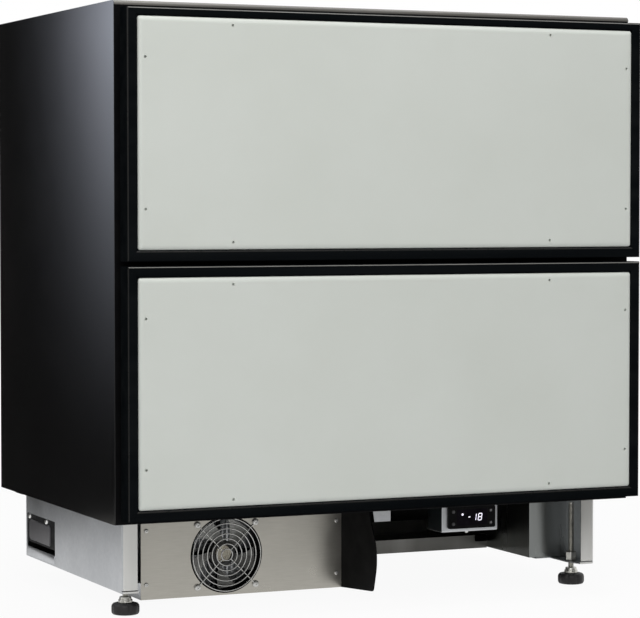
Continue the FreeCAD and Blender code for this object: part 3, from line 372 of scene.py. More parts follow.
def piece(name, bm, slot, replaced=(), material=None, second=None, sharp=35, body="cabinet"):
    """An object that rides on a body, in its slot's finish unless another is named."""
    bmesh.ops.recalc_face_normals(bm, faces=bm.faces)
    mesh = bpy.data.meshes.new(name)
    bm.to_mesh(mesh)
    bm.free()
    mesh.shade_smooth()
    mesh.set_sharp_from_angle(angle=math.radians(sharp))
    made = put(name, mesh)
    mesh.materials.append(finishes[material or slot])
    if second:
        mesh.materials.append(finishes[second])
    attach(made, body)
    if replaced:
        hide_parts(*replaced)
    return made


def arc(centre, radius, start, end, steps=8):
    """Points on a round bend between two angles, as pairs."""
    points = []
    for step in range(steps + 1):
        angle = math.radians(start + (end - start) * step / steps)
        points.append((centre[0] + radius * math.cos(angle), centre[1] + radius * math.sin(angle)))
    return points


def rounded_loop(half_x, half_z, radius, steps=8):
    """A rectangle with round corners, as pairs from its middle."""
    points = []
    for across, up, start in ((1, 1, 0), (-1, 1, 90), (-1, -1, 180), (1, -1, 270)):
        centre = (across * (half_x - radius), up * (half_z - radius))
        points += arc(centre, radius, start, start + 90, steps)
    return points


def upright_loop(centre, y, *outline):
    """A rounded rectangle that faces the front at a depth."""
    return [Vector((centre.x + x, y, centre.z + z)) for x, z in rounded_loop(*outline)]


def block(bm, half_a, half_b, corner, rows, place):
    """A block of rounded rectangles, each drawn in by its inset, at levels along the third axis."""
    loops = []
    for inset, level in rows:
        outline = rounded_loop(half_a - inset, half_b - inset, corner, SMALL_ROUND)
        loops.append([place(a, b, level) for a, b in outline])
    solid(bm, loops)


def along_x(a, b, end):
    return Vector((end, a, b))


def bent_strip(bm, outer, thick, place, low, high):
    """A sheet bent along an open outer line of pairs, run between two ends."""
    inner = []
    for index, (a, b) in enumerate(outer):
        before = outer[max(index - 1, 0)]
        after = outer[min(index + 1, len(outer) - 1)]
        run = Vector((after[0] - before[0], after[1] - before[1])).normalized()
        inner.append((a - run.y * thick, b + run.x * thick))
    loop = outer + inner[::-1]
    solid(bm, [[place(a, b, end) for a, b in loop] for end in (low, high)])


def drilled(bm, outlines, place, low, high):
    """A flat plate between two levels; the outlines after the first are holes."""
    rims = ([], [])
    for outline in outlines:
        rows = bridge(bm, [[place(a, b, end) for a, b in outline] for end in (low, high)])
        for row, rim in zip(rows, rims):
            rim += rim_edges(bm, row)
    for rim in rims:
        fill(bm, rim)


def cabinet_skin():
    """Side, top and bottom sheets with bent front edges, and the strips behind the fronts."""
    sheet = 1 * MM
    fold = 1.4 * MM
    top_bend = 7 * MM
    floor_bend = 2 * MM
    floor_steps = 5
    strip_end = 54 * MM
    low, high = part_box("left_side_panel")
    front, rear = low.y, high.y
    floor, top = low.z, high.z
    outer_x = -low.x
    mouth_x = -high.x
    fold_low = floor + floor_bend
    fold_high = top - top_bend
    outline = [(rear, floor)] + arc((front + floor_bend, fold_low), floor_bend, -90, -180, floor_steps)
    outline += [(front + fold, fold_low), (front + fold, fold_high)]
    outline += arc((front + top_bend, fold_high), top_bend, 180, 90) + [(rear, top)]
    for side, name in zip(SIDES, ("left_side_panel", "right_side_panel")):
        bm = bmesh.new()
        solid(bm, [[Vector((side * x, y, z)) for y, z in outline] for x in (outer_x, outer_x - sheet)])
        line = arc((outer_x - fold, front + fold), fold, 0, -90) + [(mouth_x, front)]
        bent_strip(bm, line, -sheet, lambda a, b, end: Vector((side * a, b, end)), fold_low, fold_high)
        # Painted shade: the front returns, in shade behind the fronts, get the darker copy of the black
        # steel.
        split(bm, lambda middle: middle.y < front + sheet / 2)
        piece(f"{name}_sheet", bm, "black_steel", [name], second="painted_shade_black")
    inset = outer_x - sheet
    for name, edge, way, bend in (("top_panel", top, -1, top_bend), ("bottom_panel", floor, 1, floor_bend)):
        bm = bmesh.new()
        turn = edge + way * bend
        line = [(rear, edge)]
        line += [(y, turn - way * z) for y, z in arc((front + bend, 0), bend, 90, 180)]
        bent_strip(bm, line, -way * sheet, along_x, -inset, inset)
        strip = [(front, turn), (front, edge + way * strip_end)]
        bent_strip(bm, strip, -way * sheet, along_x, -mouth_x, mouth_x)
        # Painted shade: the bottom sheet, under the cabinet, is all in the darker copy of the black steel;
        # the top sheet keeps the black steel.
        looks = {"material": "painted_shade_black"}
        if name == "top_panel":
            # The top sheet's front bend gets a mid grey, lighter than the rest of the black sheet.
            split(bm, lambda middle: middle.y < front + bend and middle.z > turn - bend)
            looks = {"second": "top_bend_grey"}
        piece(f"{name}_sheet", bm, "black_steel", [name], **looks)


def mullion_strip():
    """Black strip over the bar between the two mouths, lapping the side returns."""
    low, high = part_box("mullion_bar")
    lap = 3 * MM
    proud = 0.2 * MM
    sheet = 0.8 * MM
    line = [(low.y - proud, low.z), (low.y - proud, high.z)]
    bm = bmesh.new()
    bent_strip(bm, line, -sheet, along_x, low.x - lap, high.x + lap)
    # Painted shade: the strip takes the darker copy of the black steel, as it lies in shade between the
    # fronts.
    piece("mullion_strip", bm, "black_steel", material="painted_shade_black")


def foam_shell():
    """Foam between the skins and the liner, eased where the sheets are bent."""
    low, high, centre, half_x, half_z = spans("insulation")
    _, liner_high, _, liner_x, liner_z = spans("inner_liner")
    clear = 0.2 * MM
    ease = 7 * MM
    corner = 3 * MM
    rows = [(liner_x + clear, liner_z + clear, liner_high.y + clear),
            (liner_x + clear, liner_z + clear, low.y + clear),
            (half_x - ease, half_z - ease, low.y + clear),
            (half_x - clear, half_z - clear, low.y + ease),
            (half_x - clear, half_z - clear, high.y - clear - BACK_PRESS)]
    bm = bmesh.new()
    solid(bm, [upright_loop(centre, y, across, up, corner, SMALL_ROUND) for across, up, y in rows])
    piece("foam_shell", bm, "foam", ["insulation"])


def front_frames():
    """Four mitred bars around each front: polished edges, a painted highlight on the top bar's outer front
    edge, a shadow groove and a lip behind the plate.
    """
    profile = [(0, 31), (0, 28.6), (0.9, 28.2), (0.9, 26.6), (0, 26.2), (0, 2.4), (0.35, 1.1), (1.1, 0.35),
               (2.4, 0), (13.6, 0), (15, 0.6), (16.2, 1.7), (16.6, 3.5), (28, 3.5), (28, 3.9), (17, 3.9),
               (17, 31)]
    outer_edge = (6, 7)
    top_edge = (7,)
    inner_edge = (9, 10, 11)
    # The grey on the top bar's outer front edge is a painted highlight, where light from above falls.
    polished, painted_highlight = 1, 2
    lit = {"bottom": (inner_edge, polished), "right": (outer_edge, polished), "top": (top_edge, painted_highlight),
           "left": (outer_edge, polished)}
    bar_face = 5
    seam = 0.1 * MM
    for drawer in DRAWERS:
        node = f"{drawer}_front_frame"
        low, high, centre, half_x, _ = spans(node)
        plate_low, plate_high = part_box(f"{drawer}_face_plate")
        trim = (plate_low.z - low.z) - (high.z - plate_high.z)
        bm = bmesh.new()
        for side, (strips, slot) in lit.items():
            first = len(bm.faces)
            ends = []
            for end in SIDES:
                loop = []
                for inward, back in profile:
                    x = half_x - inward * MM
                    bottom = low.z + inward * MM
                    top = high.z - inward * MM + (trim if inward > bar_face else 0)
                    across, up = {"bottom": (end * (x - seam), bottom), "top": (-end * (x - seam), top),
                                  "right": (x, top - seam if end > 0 else bottom + seam),
                                  "left": (-x, bottom + seam if end > 0 else top - seam)}[side]
                    loop.append(Vector((centre.x + across, low.y + back * MM, up)))
                ends.append(loop)
            solid(bm, ends)
            bm.faces.ensure_lookup_table()
            for strip in strips:
                bm.faces[first + strip].material_index = slot
        bars = piece(f"{drawer}_frame_bars", bm, "front_frame", [node], second="frame_edge", sharp=25,
                     body=f"{drawer}_drawer")
        bars.data.materials.append(finishes["painted_top_highlight"])


def face_plates():
    """Carrier plates with a rolled edge and the drilled holes that the record's mounts give."""
    roll = 8.5 * MM
    depth = 5 * MM
    corner = 4 * MM
    corner_ease = 0.3
    sink = 4 * MM
    roll_steps = 10
    hole_steps = 16
    circle = [Vector((x, 0, z)) for x, z in arc((0, 0), 1, 0, 360, hole_steps)[:-1]]
    for drawer in DRAWERS:
        node = f"{drawer}_face_plate"
        low, high, centre, half_x, half_z = spans(node)
        bm = bmesh.new()
        loops = [upright_loop(centre, high.y, half_x, half_z, corner)]
        for step in range(roll_steps + 1):
            angle = math.pi / 2 * step / roll_steps
            inset = roll * (1 - math.cos(angle))
            y = low.y + depth * (1 - math.sin(angle))
            radius = corner - inset * corner_ease
            loops.append(upright_loop(centre, y, half_x - inset, half_z - inset, radius))
        edges = rim_edges(bm, bridge(bm, loops, first_cap=True)[-1])
        for mount in frame["record"]["mounts"]:
            if not mount["name"].startswith(f"{drawer}_panel_holes"):
                continue
            dims = mount["dims"]
            hole = dims["hole_r_mm"] * MM
            for across, up in CORNERS:
                x = centre.x + across * dims["spacing_x_mm"] / 2 * MM
                z = centre.z + up * dims["spacing_y_mm"] / 2 * MM
                well = [[Vector((x, y, z)) + spot * hole for spot in circle] for y in (low.y, low.y + sink)]
                edges += rim_edges(bm, bridge(bm, well, last_cap=True)[0])
        fill(bm, edges)
        piece(f"{drawer}_plate", bm, "carrier_plate", [node], sharp=40, body=f"{drawer}_drawer")


def gaskets():
    """Bellows seal between each front and the cabinet."""
    profile = millimetres([(0, 0), (0, 2), (2.4, 3.2), (2.4, 4.6), (0, 5.6), (0, 8), (2.4, 9.2), (2.4, 10.6),
                           (0, 11.6), (0, 13.6), (15, 13.6), (16, 12.6), (16, 1), (15, 0)])
    corner = 18 * MM
    steps = 6
    for drawer in DRAWERS:
        node = f"{drawer}_gasket"
        low, _, centre, half_x, half_z = spans(node)
        bm = bmesh.new()
        loops = []
        for inset, back in profile + profile[:1]:
            size = (half_x - inset, half_z - inset, corner - inset, steps)
            loops.append(upright_loop(centre, low.y + back, *size))
        bridge(bm, loops)
        weld(bm)
        piece(f"{drawer}_seal", bm, "seal_rubber", [node], body=f"{drawer}_drawer")


def levelling_feet():
    """Feet: a ribbed pad, a collar above it and a threaded stem."""
    pad_steps = ((21.5, 0), (4.6, 0), (2.2, 0.6), (0.7, 2.2), (0, 5), (0, 12.4), (0.7, 15), (2.6, 17.2),
                 (6.4, 18.3), (10, 18.6), (21.5, 18.6))
    collar = millimetres([(4, 18.6), (10.7, 18.6), (11.2, 19.2), (11.2, 22.6), (10.8, 23.2), (9.9, 23.5),
                          (9.3, 27), (8.8, 27.6), (4, 27.6)])
    tip_steps = ((0.3, 2.4), (4.4, 2.4), (4.4, 0.8), (3.4, 0), (0.3, 0))
    start = 27 * MM
    pitch = 1.5 * MM
    root = 4.3 * MM
    crest = 5 * MM
    steps = 14
    ribs = 8
    rib_depth = 1.1 * MM
    rib_reach = 1.5 * MM
    for foot in FEET:
        _, high, middle, reach, _ = spans(foot)
        centre = Vector((middle.x, middle.y, 0))

        def ribbed(radius, angle):
            if radius < reach - rib_reach:
                return radius
            return radius - rib_depth * (0.5 + 0.5 * math.cos(ribs * angle)) ** 3

        bm = bmesh.new()
        pad = [(reach - inset * MM, height * MM) for inset, height in pad_steps]
        turned(bm, pad, centre, segments=160, shape=ribbed)
        piece(f"{foot}_pad", bm, "black_plastic", material="pad_rubber", body=foot)
        bm = bmesh.new()
        turned(bm, collar, centre)
        turns = int((high.z - start) / pitch) - 1
        roots = []
        crests = []
        for step in range(turns * steps):
            angle = 2 * math.pi * step / steps
            way = Vector((math.cos(angle), math.sin(angle), 0))
            rise = Vector((0, 0, start + pitch * step / steps))
            roots.append(bm.verts.new(centre + way * root + rise))
            crests.append(bm.verts.new(centre + way * crest + rise + Vector((0, 0, pitch / 2))))
        for step in range(len(roots) - 1):
            bm.faces.new((roots[step], roots[step + 1], crests[step + 1], crests[step]))
            above = step + steps
            if above + 1 < len(roots):
                bm.faces.new((crests[step], crests[step + 1], roots[above + 1], roots[above]))
        tip = [(radius * MM, high.z - drop * MM) for radius, drop in tip_steps]
        turned(bm, tip, centre, segments=24)
        piece(f"{foot}_stem", bm, "zinc", [foot], body=foot)


def guard_reach():
    """How far each screw of the fan guard lies from its middle, across and up."""
    low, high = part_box("guard_screws")
    return (high.x - low.x) / 2 - GUARD_HEAD * MM


def guard_wires():
    """Fan guard of plated wire: seven rings on four spokes that end in screw eyes."""
    low, high, centre, _, _ = spans("fan_guard")
    ring_y = low.y + GUARD_WIRE
    spoke_y = high.y - GUARD_WIRE
    rings = 7
    first = 9.4 * MM
    pitch = 8.2 * MM
    eye = 4.6 * MM
    first_steps = 36
    more_steps = 12
    eye_steps = 28
    reach = guard_reach()
    hub = Vector((centre.x, spoke_y, centre.z))
    bm = bmesh.new()

    def ring(x, y, z, size, steps):
        turns = angles(steps)
        points = [Vector((x + size * math.cos(turn), y, z + size * math.sin(turn))) for turn in turns]
        wire(bm, points, GUARD_WIRE, closed=True)

    for index in range(rings):
        ring(centre.x, ring_y, centre.z, first + index * pitch, first_steps + more_steps * index)
    for across, up in CORNERS:
        ring(centre.x + across * reach, spoke_y, centre.z + up * reach, eye, eye_steps)
        outward = Vector((across, 0, up)).normalized()
        wire(bm, [hub + outward * first, hub + outward * (reach * math.sqrt(2) - eye)], GUARD_WIRE)
    piece("guard_wires", bm, "bright_wire", ["fan_guard"])


def impeller(name, node, hub, tip, cover, margin, start=0, sunk=0):
    """Broad curved blades on a domed hub set back by sunk, turning about an axis along the depth."""
    low, high, centre, _, _ = spans(node)
    depth = high.y - low.y
    rear = sunk - depth / MM
    hub_profile = [(0.4, rear), (hub, rear), (hub, -1.6), (hub - 0.6, -0.5), (hub - 2, 0),
                   (hub * 0.62, 0), (hub * 0.58, -0.8), (0.4, -0.8)]
    blades = 5
    across_steps = 10
    out_steps = 8
    thick = 0.9 * MM
    root = hub - 1
    narrow, widen, sweep = 0.86, 0.2, 0.35
    lean, camber = 0.84, 0.16
    bm = bmesh.new()
    middle = Vector((centre.x, low.y + sunk * MM, centre.z))
    turned(bm, millimetres(hub_profile), middle, FORWARD, segments=64)
    split(bm, lambda middle: True)
    for blade in range(blades):
        base = 2 * math.pi * blade / blades + math.radians(start)
        rims = []
        for face in SIDES:
            grid = []
            for out in range(out_steps + 1):
                share = out / out_steps
                radius = (root + (tip - root) * share) * MM
                row = []
                for step in range(across_steps + 1):
                    chord = step / across_steps
                    turn = math.radians(cover) * (chord - 0.5) * (narrow + widen * share)
                    angle = base + turn + sweep * share
                    bow = chord * lean + math.sin(math.pi * chord) * camber
                    y = low.y + margin * MM + (depth - 2 * margin * MM) * bow
                    row.append(Vector((centre.x + radius * math.cos(angle), y + face * thick / 2,
                                       centre.z + radius * math.sin(angle))))
                grid.append(row)
            trailing = [row[-1] for row in grid[1:-1]]
            leading = [row[0] for row in grid[-2:0:-1]]
            rims.append(grid[0] + trailing + grid[-1][::-1] + leading)
            bridge(bm, grid, around=False)
        bridge(bm, rims)
    weld(bm, reach=1e-6)
    piece(name, bm, "fan_grey", [node], second="fan_motor", body=node)


def fans():
    """Both impellers, and the pale bearing cap in the front one's hub."""
    sunk = 10
    impeller("condenser_impeller", "condenser_fan", hub=21, tip=56, cover=36, margin=2.6, start=40, sunk=sunk)
    impeller("evaporator_impeller", "evaporator_fan", hub=17, tip=39, cover=56, margin=2.4)
    low, _, centre, _, _ = spans("condenser_fan")
    bm = bmesh.new()
    profile = millimetres([(0.4, -1.2), (15, -1.2), (15, -0.3), (14.6, 0), (7.4, 0), (7, -0.4), (2.2, -0.4),
                           (1.8, 0), (0.4, 0)])
    turned(bm, profile, Vector((centre.x, low.y + sunk * MM, centre.z)), FORWARD)
    piece("fan_hub_cap", bm, "fan_grey", material="hub_cap", body="condenser_fan")


def screw_head(bm, face, axis, head, height, shank, length):
    """A pan head with a hexagon socket, and its shank, in millimetres."""
    socket = head * 0.42
    slack = 0.01

    def shape(radius, angle):
        return hexagon(radius, angle) if radius <= (socket + slack) * MM else radius

    profile = [(shank * 0.3, -length), (shank, -length + 0.4), (shank, 0), (head, 0), (head, height * 0.35),
               (head * 0.86, height * 0.8), (head * 0.6, height), (socket, height), (socket, height * 0.35),
               (0.2, height * 0.3)]
    turned(bm, millimetres(profile), face, axis, segments=36, shape=shape)


def screws():
    """All the visible screws of the base; a size is head radius, head height, shank radius and length."""
    panel_size = (3.6, 2, 1.8, 6)
    bracket_size = (3.6, 3.6, 1.8, 6)
    cover_size = (4.8, 3.4, 1.8, 6)
    guard_size = (GUARD_HEAD, 2, 2, 13)
    panel_side = 9 * MM
    panel_floor = 24 * MM
    panel_top = 30 * MM
    bracket_front = 12 * MM
    cover_rear = 15 * MM
    cover_front = 53 * MM
    cover_top = 12.5 * MM
    low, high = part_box("fan_panel")
    bm = bmesh.new()
    for x in (low.x + panel_side, high.x - panel_side):
        for z in (low.z + panel_floor, high.z - panel_top):
            screw_head(bm, Vector((x, low.y, z)), FORWARD, *panel_size)
    low, _, centre, _, _ = spans("controller_bracket")
    screw_head(bm, Vector((centre.x, low.y + bracket_front, low.z)), (0, 0, -1), *bracket_size)
    piece("panel_screw_set", bm, "bright_wire", ["panel_screws"], "screw_steel")
    low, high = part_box("side_covers")
    bm = bmesh.new()
    for side in SIDES:
        for y in (high.y - cover_rear, low.y + cover_front):
            screw_head(bm, Vector((side * high.x, y, high.z - cover_top)), (side, 0, 0), *cover_size)
    piece("cover_screw_set", bm, "bright_wire", material="bolt_zinc")
    _, high, centre, _, _ = spans("fan_guard")
    reach = guard_reach()
    bm = bmesh.new()
    for across, up in CORNERS:
        face = Vector((centre.x + across * reach, high.y - 2 * GUARD_WIRE, centre.z + up * reach))
        screw_head(bm, face, FORWARD, *guard_size)
    piece("guard_screw_set", bm, "bright_wire", ["guard_screws"], "screw_steel")


def display_digits():
    """The reading on the display: a lamp, a minus sign and two seven-segment figures, in millimetres."""
    low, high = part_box("display_lens")
    proud = 0.1
    thick = 0.35
    lean = math.tan(math.radians(8))
    half = 3.0
    rise = 5.4
    wide = 1.5
    figures = ((4.2, "bc"), (14.5, "abcdefg"))
    minus_x, minus_z, minus_half, minus_wide = -5.1, 0.4, 2.2, 1.6
    lamp_x, lamp_z = -17.6, 5
    lamp_profile = millimetres([(0.3, -0.3), (1.9, -0.3), (1.9, 0.05), (0.3, 0.05)])
    y = low.y - proud * MM
    bm = bmesh.new()

    def stroke(x, z, start, end, wide):
        """One pointed segment between two points given from a figure's middle."""
        first = Vector((start[0], 0, start[1]))
        last = Vector((end[0], 0, end[1]))
        along = (last - first).normalized()
        side = Vector((-along.z, 0, along.x)) * wide / 2
        tip = along * wide / 2
        flat = [first, first + tip - side, last - tip - side, last, last - tip + side, first + tip + side]
        solid(bm, [[Vector(((x + spot.x + spot.z * lean) * MM, y + back * MM, (z + spot.z) * MM))
                    for spot in flat] for back in (0, thick)])

    strokes = {"a": (-1, 1, 1, 1), "b": (1, 1, 1, 0), "c": (1, 0, 1, -1), "d": (1, -1, -1, -1),
               "e": (-1, -1, -1, 0), "f": (-1, 0, -1, 1), "g": (-1, 0, 1, 0)}
    middle_x = (low.x + high.x) / 2 / MM
    middle_z = (low.z + high.z) / 2 / MM
    for offset, segments in figures:
        for letter in segments:
            x, z, end_x, end_z = strokes[letter]
            ends = ((x * half, z * rise), (end_x * half, end_z * rise))
            stroke(middle_x + offset, middle_z, *ends, wide)
    stroke(middle_x + minus_x, middle_z + minus_z, (-minus_half, 0), (minus_half, 0), minus_wide)
    lamp_place = Vector(((middle_x + lamp_x) * MM, y, (middle_z + lamp_z) * MM))
    turned(bm, lamp_profile, lamp_place, FORWARD, segments=28)
    piece("display_reading", bm, "display", material="display_light")


def buttons():
    """Domed push buttons with a shallow finger dish, and a printed mark in each, brighter on the right."""
    profile = millimetres([(0.3, -3.4), (3, -3.4), (3, -0.7), (2.7, -0.2), (2.2, 0), (1.6, -0.12),
                           (0.3, -0.25)])
    marks = {"left": (2.1, "button_mark_dim"), "right": (1.5, "button_mark_pale")}
    for button in BUTTONS:
        low, _, centre, _, _ = spans(button)
        face = Vector((centre.x, low.y, centre.z))
        bm = bmesh.new()
        turned(bm, profile, face, FORWARD, segments=32)
        piece(f"{button}_cap", bm, "button_grey", [button], body=button)
        reach, ink = marks[button.split("_")[-1]]
        mark = millimetres([(0.3, -0.4), (reach, -0.4), (reach, -0.04), (reach * 0.6, 0), (0.3, 0)])
        bm = bmesh.new()
        turned(bm, mark, face, FORWARD, segments=24)
        piece(f"{button}_mark", bm, "button_grey", material=ink, body=button)


def side_cover_pans():
    """Pressed covers behind the windows of the base, each with a raised field towards the rear."""
    low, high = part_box("side_covers")
    outer = -low.x
    skin = 2 * MM
    raised = 1.5 * MM
    bevel = 1.6 * MM
    corner = 3 * MM
    field_corner = 7 * MM
    top_corner = 6 * MM
    steps = 5
    field_low = Vector((0, low.y + 35 * MM, low.z + 3.5 * MM))
    field_high = Vector((0, high.y - 10 * MM, high.z - 18 * MM))

    def ring(first, last, inset, radius, x):
        outline = rounded_loop((last.y - first.y) / 2 - inset, (last.z - first.z) / 2 - inset, radius, steps)
        return [Vector((x, (first.y + last.y) / 2 + y, (first.z + last.z) / 2 + z)) for y, z in outline]

    bm = bmesh.new()
    for side in SIDES:
        count = len(bm.faces)
        loops = [ring(low, high, 0, corner, side * (outer - skin)), ring(low, high, 0, corner, side * outer),
                 ring(field_low, field_high, 0, field_corner, side * outer),
                 ring(field_low, field_high, bevel, top_corner, side * (outer + raised))]
        solid(bm, loops)
        bm.faces.ensure_lookup_table()
        round_about = len(loops[0])
        # The bevel and the raised field are grey, but not the back, which comes between them.
        for index in range(count + 2 * round_about, len(bm.faces)):
            bm.faces[index].material_index = 1
        bm.faces[count + 3 * round_about].material_index = 0
    piece("side_cover_pans", bm, "black_plastic", ["side_covers"], second="cover_grey")


def hanging_tab():
    """Small sheet lug under the cabinet with an ear, a slanted edge and a notch."""
    low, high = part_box("hanging_tab")
    ear = 6 * MM
    ear_end = high.z - 3 * MM
    ear_root = high.z - 4 * MM
    slant = 3 * MM
    notch = 3 * MM
    notch_end = high.z - 5 * MM
    mid = (low.x + high.x) / 2
    line = [(low.x - ear, high.z), (low.x - ear, ear_end), (low.x, ear_root), (low.x + slant, low.z),
            (high.x, low.z), (high.x, high.z), (mid + notch, high.z), (mid + notch, notch_end),
            (mid - notch, notch_end), (mid - notch, high.z)]
    bm = bmesh.new()
    solid(bm, [[Vector((x, y, z)) for x, z in line] for y in (low.y, high.y)])
    piece("hanging_lug", bm, "galvanised", ["hanging_tab"])


def electrics_box():
    """Cover of the electrics, whose front bows back towards its inner edge."""
    low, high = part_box("electrics_cover")
    sheet = 1.5 * MM
    clear = 1.6 * MM
    bow = 90 * MM
    bow_end = -112
    reach = -bow * math.cos(math.radians(bow_end))
    line = [(high.x, low.y)] + arc((low.x + reach, low.y + bow), bow, -90, bow_end) + [(low.x, high.y)]
    bm = bmesh.new()
    bent_strip(bm, line, -sheet, lambda a, b, end: Vector((a, b, end)), low.z + clear, high.z - clear)
    # Painted shade: the galvanised cover is drawn in a darker steel, as it sits in shade inside the base.
    piece("electrics_box", bm, "galvanised", ["electrics_cover"], "electrics_shade_steel")


def controller_bracket():
    """Bent sheet round the controller: a window, flanges all round and a longer foot below."""
    low, high, centre, half_x, half_z = spans("controller_bracket")
    case = spans("controller_case")[2]
    sheet = 1.2 * MM
    bend = 1.8 * MM
    least_round = 0.1 * MM
    steps = 5
    flange = low.y + 48 * MM
    window_size = (36 * MM, 15 * MM, 1 * MM, SMALL_ROUND)
    foot_corner = 4 * MM

    def outer(inset, y):
        radius = bend + least_round - min(inset, bend)
        return upright_loop(centre, y, half_x - inset, half_z - inset, radius, SMALL_ROUND)

    inside = upright_loop(case, low.y + sheet, *window_size)
    loops = [inside, upright_loop(case, low.y, *window_size)]
    for step in range(steps + 1):
        angle = math.pi / 2 * step / steps
        loops.append(outer(bend * (1 - math.sin(angle)), low.y + bend * (1 - math.cos(angle))))
    loops += [outer(0, flange), outer(sheet, flange), outer(sheet, low.y + sheet), inside]
    bm = bmesh.new()
    bridge(bm, loops)
    weld(bm)
    long_half = (high.y - flange) / 2
    rows = ((0, low.z), (0, low.z + sheet))
    block(bm, half_x - bend, long_half, foot_corner, rows,
          lambda a, b, z: Vector((centre.x + a, flange + long_half + b, z)))
    # Painted shade: the outer faces of both side walls get a dark copy in place of the galvanised.
    split(bm, lambda middle: abs(middle.x - centre.x) > half_x - sheet / 2)
    piece("bracket_sheet", bm, "galvanised", ["controller_bracket"], second="bracket_side_shade")


def base_plates():
    """Base side plates: a web with a window, a rounded post in front, a sole with a hem and a top lip."""
    cover_low, cover_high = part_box("side_covers")
    foot_low, foot_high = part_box("front_left_foot")
    panel_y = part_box("fan_panel")[0].y
    rear_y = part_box("base_rear_panel")[0].y
    metal = 1.5 * MM
    bend = 4 * MM
    post = 25 * MM
    toe = 27 * MM
    sole = 35 * MM
    slant = 30 * MM
    hem = 3 * MM
    slit = 1.7 * MM
    hole = 5.3 * MM
    hole_steps = 16
    lap = 8 * MM
    slot = 9 * MM
    face_depth = 0.5 * MM
    foot = (-(foot_low.x + foot_high.x) / 2, (foot_low.y + foot_high.y) / 2)
    rod = arc(foot, hole, 0, 360, hole_steps)[:-1]
    for side, name in zip(SIDES, ("left_base_plate", "right_base_plate")):
        low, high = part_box(name)
        outer = max(-low.x, high.x)
        inner = min(abs(low.x), abs(high.x))
        front, rear = low.y, high.y
        web = [(front + bend, low.z), (rear, low.z), (rear, high.z), (front + bend, high.z)]
        window = [(cover_low.y + lap, cover_low.z - slot), (cover_high.y, cover_low.z - slot),
                  (cover_high.y, cover_high.z - lap), (cover_low.y + lap, cover_high.z - lap)]
        turn = arc((outer - bend, front + bend), bend, 0, -90)
        ground = [(outer - metal, front + bend), (outer - toe, front + metal), (outer - sole, front + slant),
                  (outer - sole, panel_y), (inner, panel_y), (inner, rear_y), (outer - metal, rear_y)]
        lip = [(outer - metal, front + bend), (outer - post, front + metal), (outer - post, rear_y),
               (outer - metal, rear_y)]

        def level(a, b, end):
            return Vector((side * a, b, end))

        bm = bmesh.new()
        drilled(bm, [web, window], lambda a, b, end: Vector((side * end, a, b)), outer, outer - metal)
        bent_strip(bm, turn + [(outer - post, front)], -metal, level, low.z + hem + slit, high.z)
        bent_strip(bm, turn + [(outer - toe, front)], -metal, level, low.z, low.z + hem)
        drilled(bm, [ground, rod], level, low.z, low.z + metal)
        drilled(bm, [lip], level, high.z - metal, high.z)
        # Painted reflection: the faces at the very front, the posts' fronts, get a lighter copy of the
        # galvanised.
        split(bm, lambda middle: middle.y < front + face_depth)
        piece(f"{name}_sheet", bm, "galvanised", [name], second="post_front_sheen")


def back_sheet():
    """Pressed back: two raised fields inside a screwed rim."""
    low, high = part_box("back_panel")
    centre = (low + high) / 2
    sheet = 0.8 * MM
    border = 30 * MM
    band = 44 * MM
    corner = 26 * MM
    slope = 5 * MM
    screw_size = (3.6, 1.5, 1.4, 3)
    screws_across = 6
    rim = high.y - BACK_PRESS
    half_x = (high.x - low.x) / 2 - border
    half_z = (high.z - low.z - 2 * border - band) / 4
    fields = [centre.z + side * (band / 2 + half_z) for side in SIDES]

    def field(middle, inset):
        outline = rounded_loop(half_x - inset, half_z - inset, corner - inset)
        return [(centre.x + x, middle + z) for x, z in outline]

    bm = bmesh.new()
    whole = [(low.x, low.z), (high.x, low.z), (high.x, high.z), (low.x, high.z)]
    drilled(bm, [whole] + [field(middle, 0) for middle in fields], lambda a, b, end: Vector((a, end, b)),
            rim - sheet, rim)
    for middle in fields:
        rows = ((0, rim - sheet), (0, rim), (slope, high.y))
        solid(bm, [[Vector((x, y, z)) for x, z in field(middle, inset)] for inset, y in rows])
    piece("back_sheet", bm, "black_steel", ["back_panel"], sharp=10)
    inset = border / 2
    left = low.x + inset
    pitch = (high.x - inset - left) / (screws_across - 1)
    levels = (low.z + inset, centre.z, high.z - inset)
    places = [(left + step * pitch, z) for step in range(screws_across) for z in levels]
    places += [(x, middle) for x in (left, high.x - inset) for middle in fields]
    bm = bmesh.new()
    for x, z in places:
        screw_head(bm, Vector((x, rim, z)), (0, 1, 0), *screw_size)
    piece("back_screws", bm, "zinc")


def tray_end_shadow():
    """Dark block at the right end of the evaporation tray's front: a painted shadow where the tray's end lies
    in shade.
    """
    low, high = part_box("evaporation_tray")
    depth = 4 * MM
    half_x = 11 * MM
    half_z = 5.5 * MM
    corner = 1.5 * MM
    ease = 1 * MM
    centre_x = high.x - half_x - ease
    centre_z = high.z - half_z
    rows = ((0, low.y), (0, low.y - depth + ease), (ease, low.y - depth))
    bm = bmesh.new()
    block(bm, half_x, half_z, corner, rows, lambda a, b, y: Vector((centre_x + a, y, centre_z + b)))
    piece("tray_end_shadow", bm, "seal_rubber")


def window_sills():
    """Folded sills under the windows of the base."""
    plate_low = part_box("left_base_plate")[0]
    cover_low, cover_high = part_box("side_covers")
    proud = 0.7 * MM
    edge = 0.3 * MM
    ease = 0.5 * MM
    corner = 2 * MM
    low_z = plate_low.z + 3 * MM
    high_z = cover_low.z - 9.4 * MM
    centre_y = (cover_low.y + 9 * MM + cover_high.y) / 2
    centre_z = (low_z + high_z) / 2
    half_y = (cover_high.y - cover_low.y - 10 * MM) / 2
    face = -plate_low.x
    rows = ((0, face - proud), (0, face + edge), (ease, face + proud))
    bm = bmesh.new()
    for side in SIDES:
        block(bm, half_y, (high_z - low_z) / 2, corner, rows,
              lambda a, b, x: Vector((side * x, centre_y + a, centre_z + b)))
    piece("window_sills", bm, "galvanised")


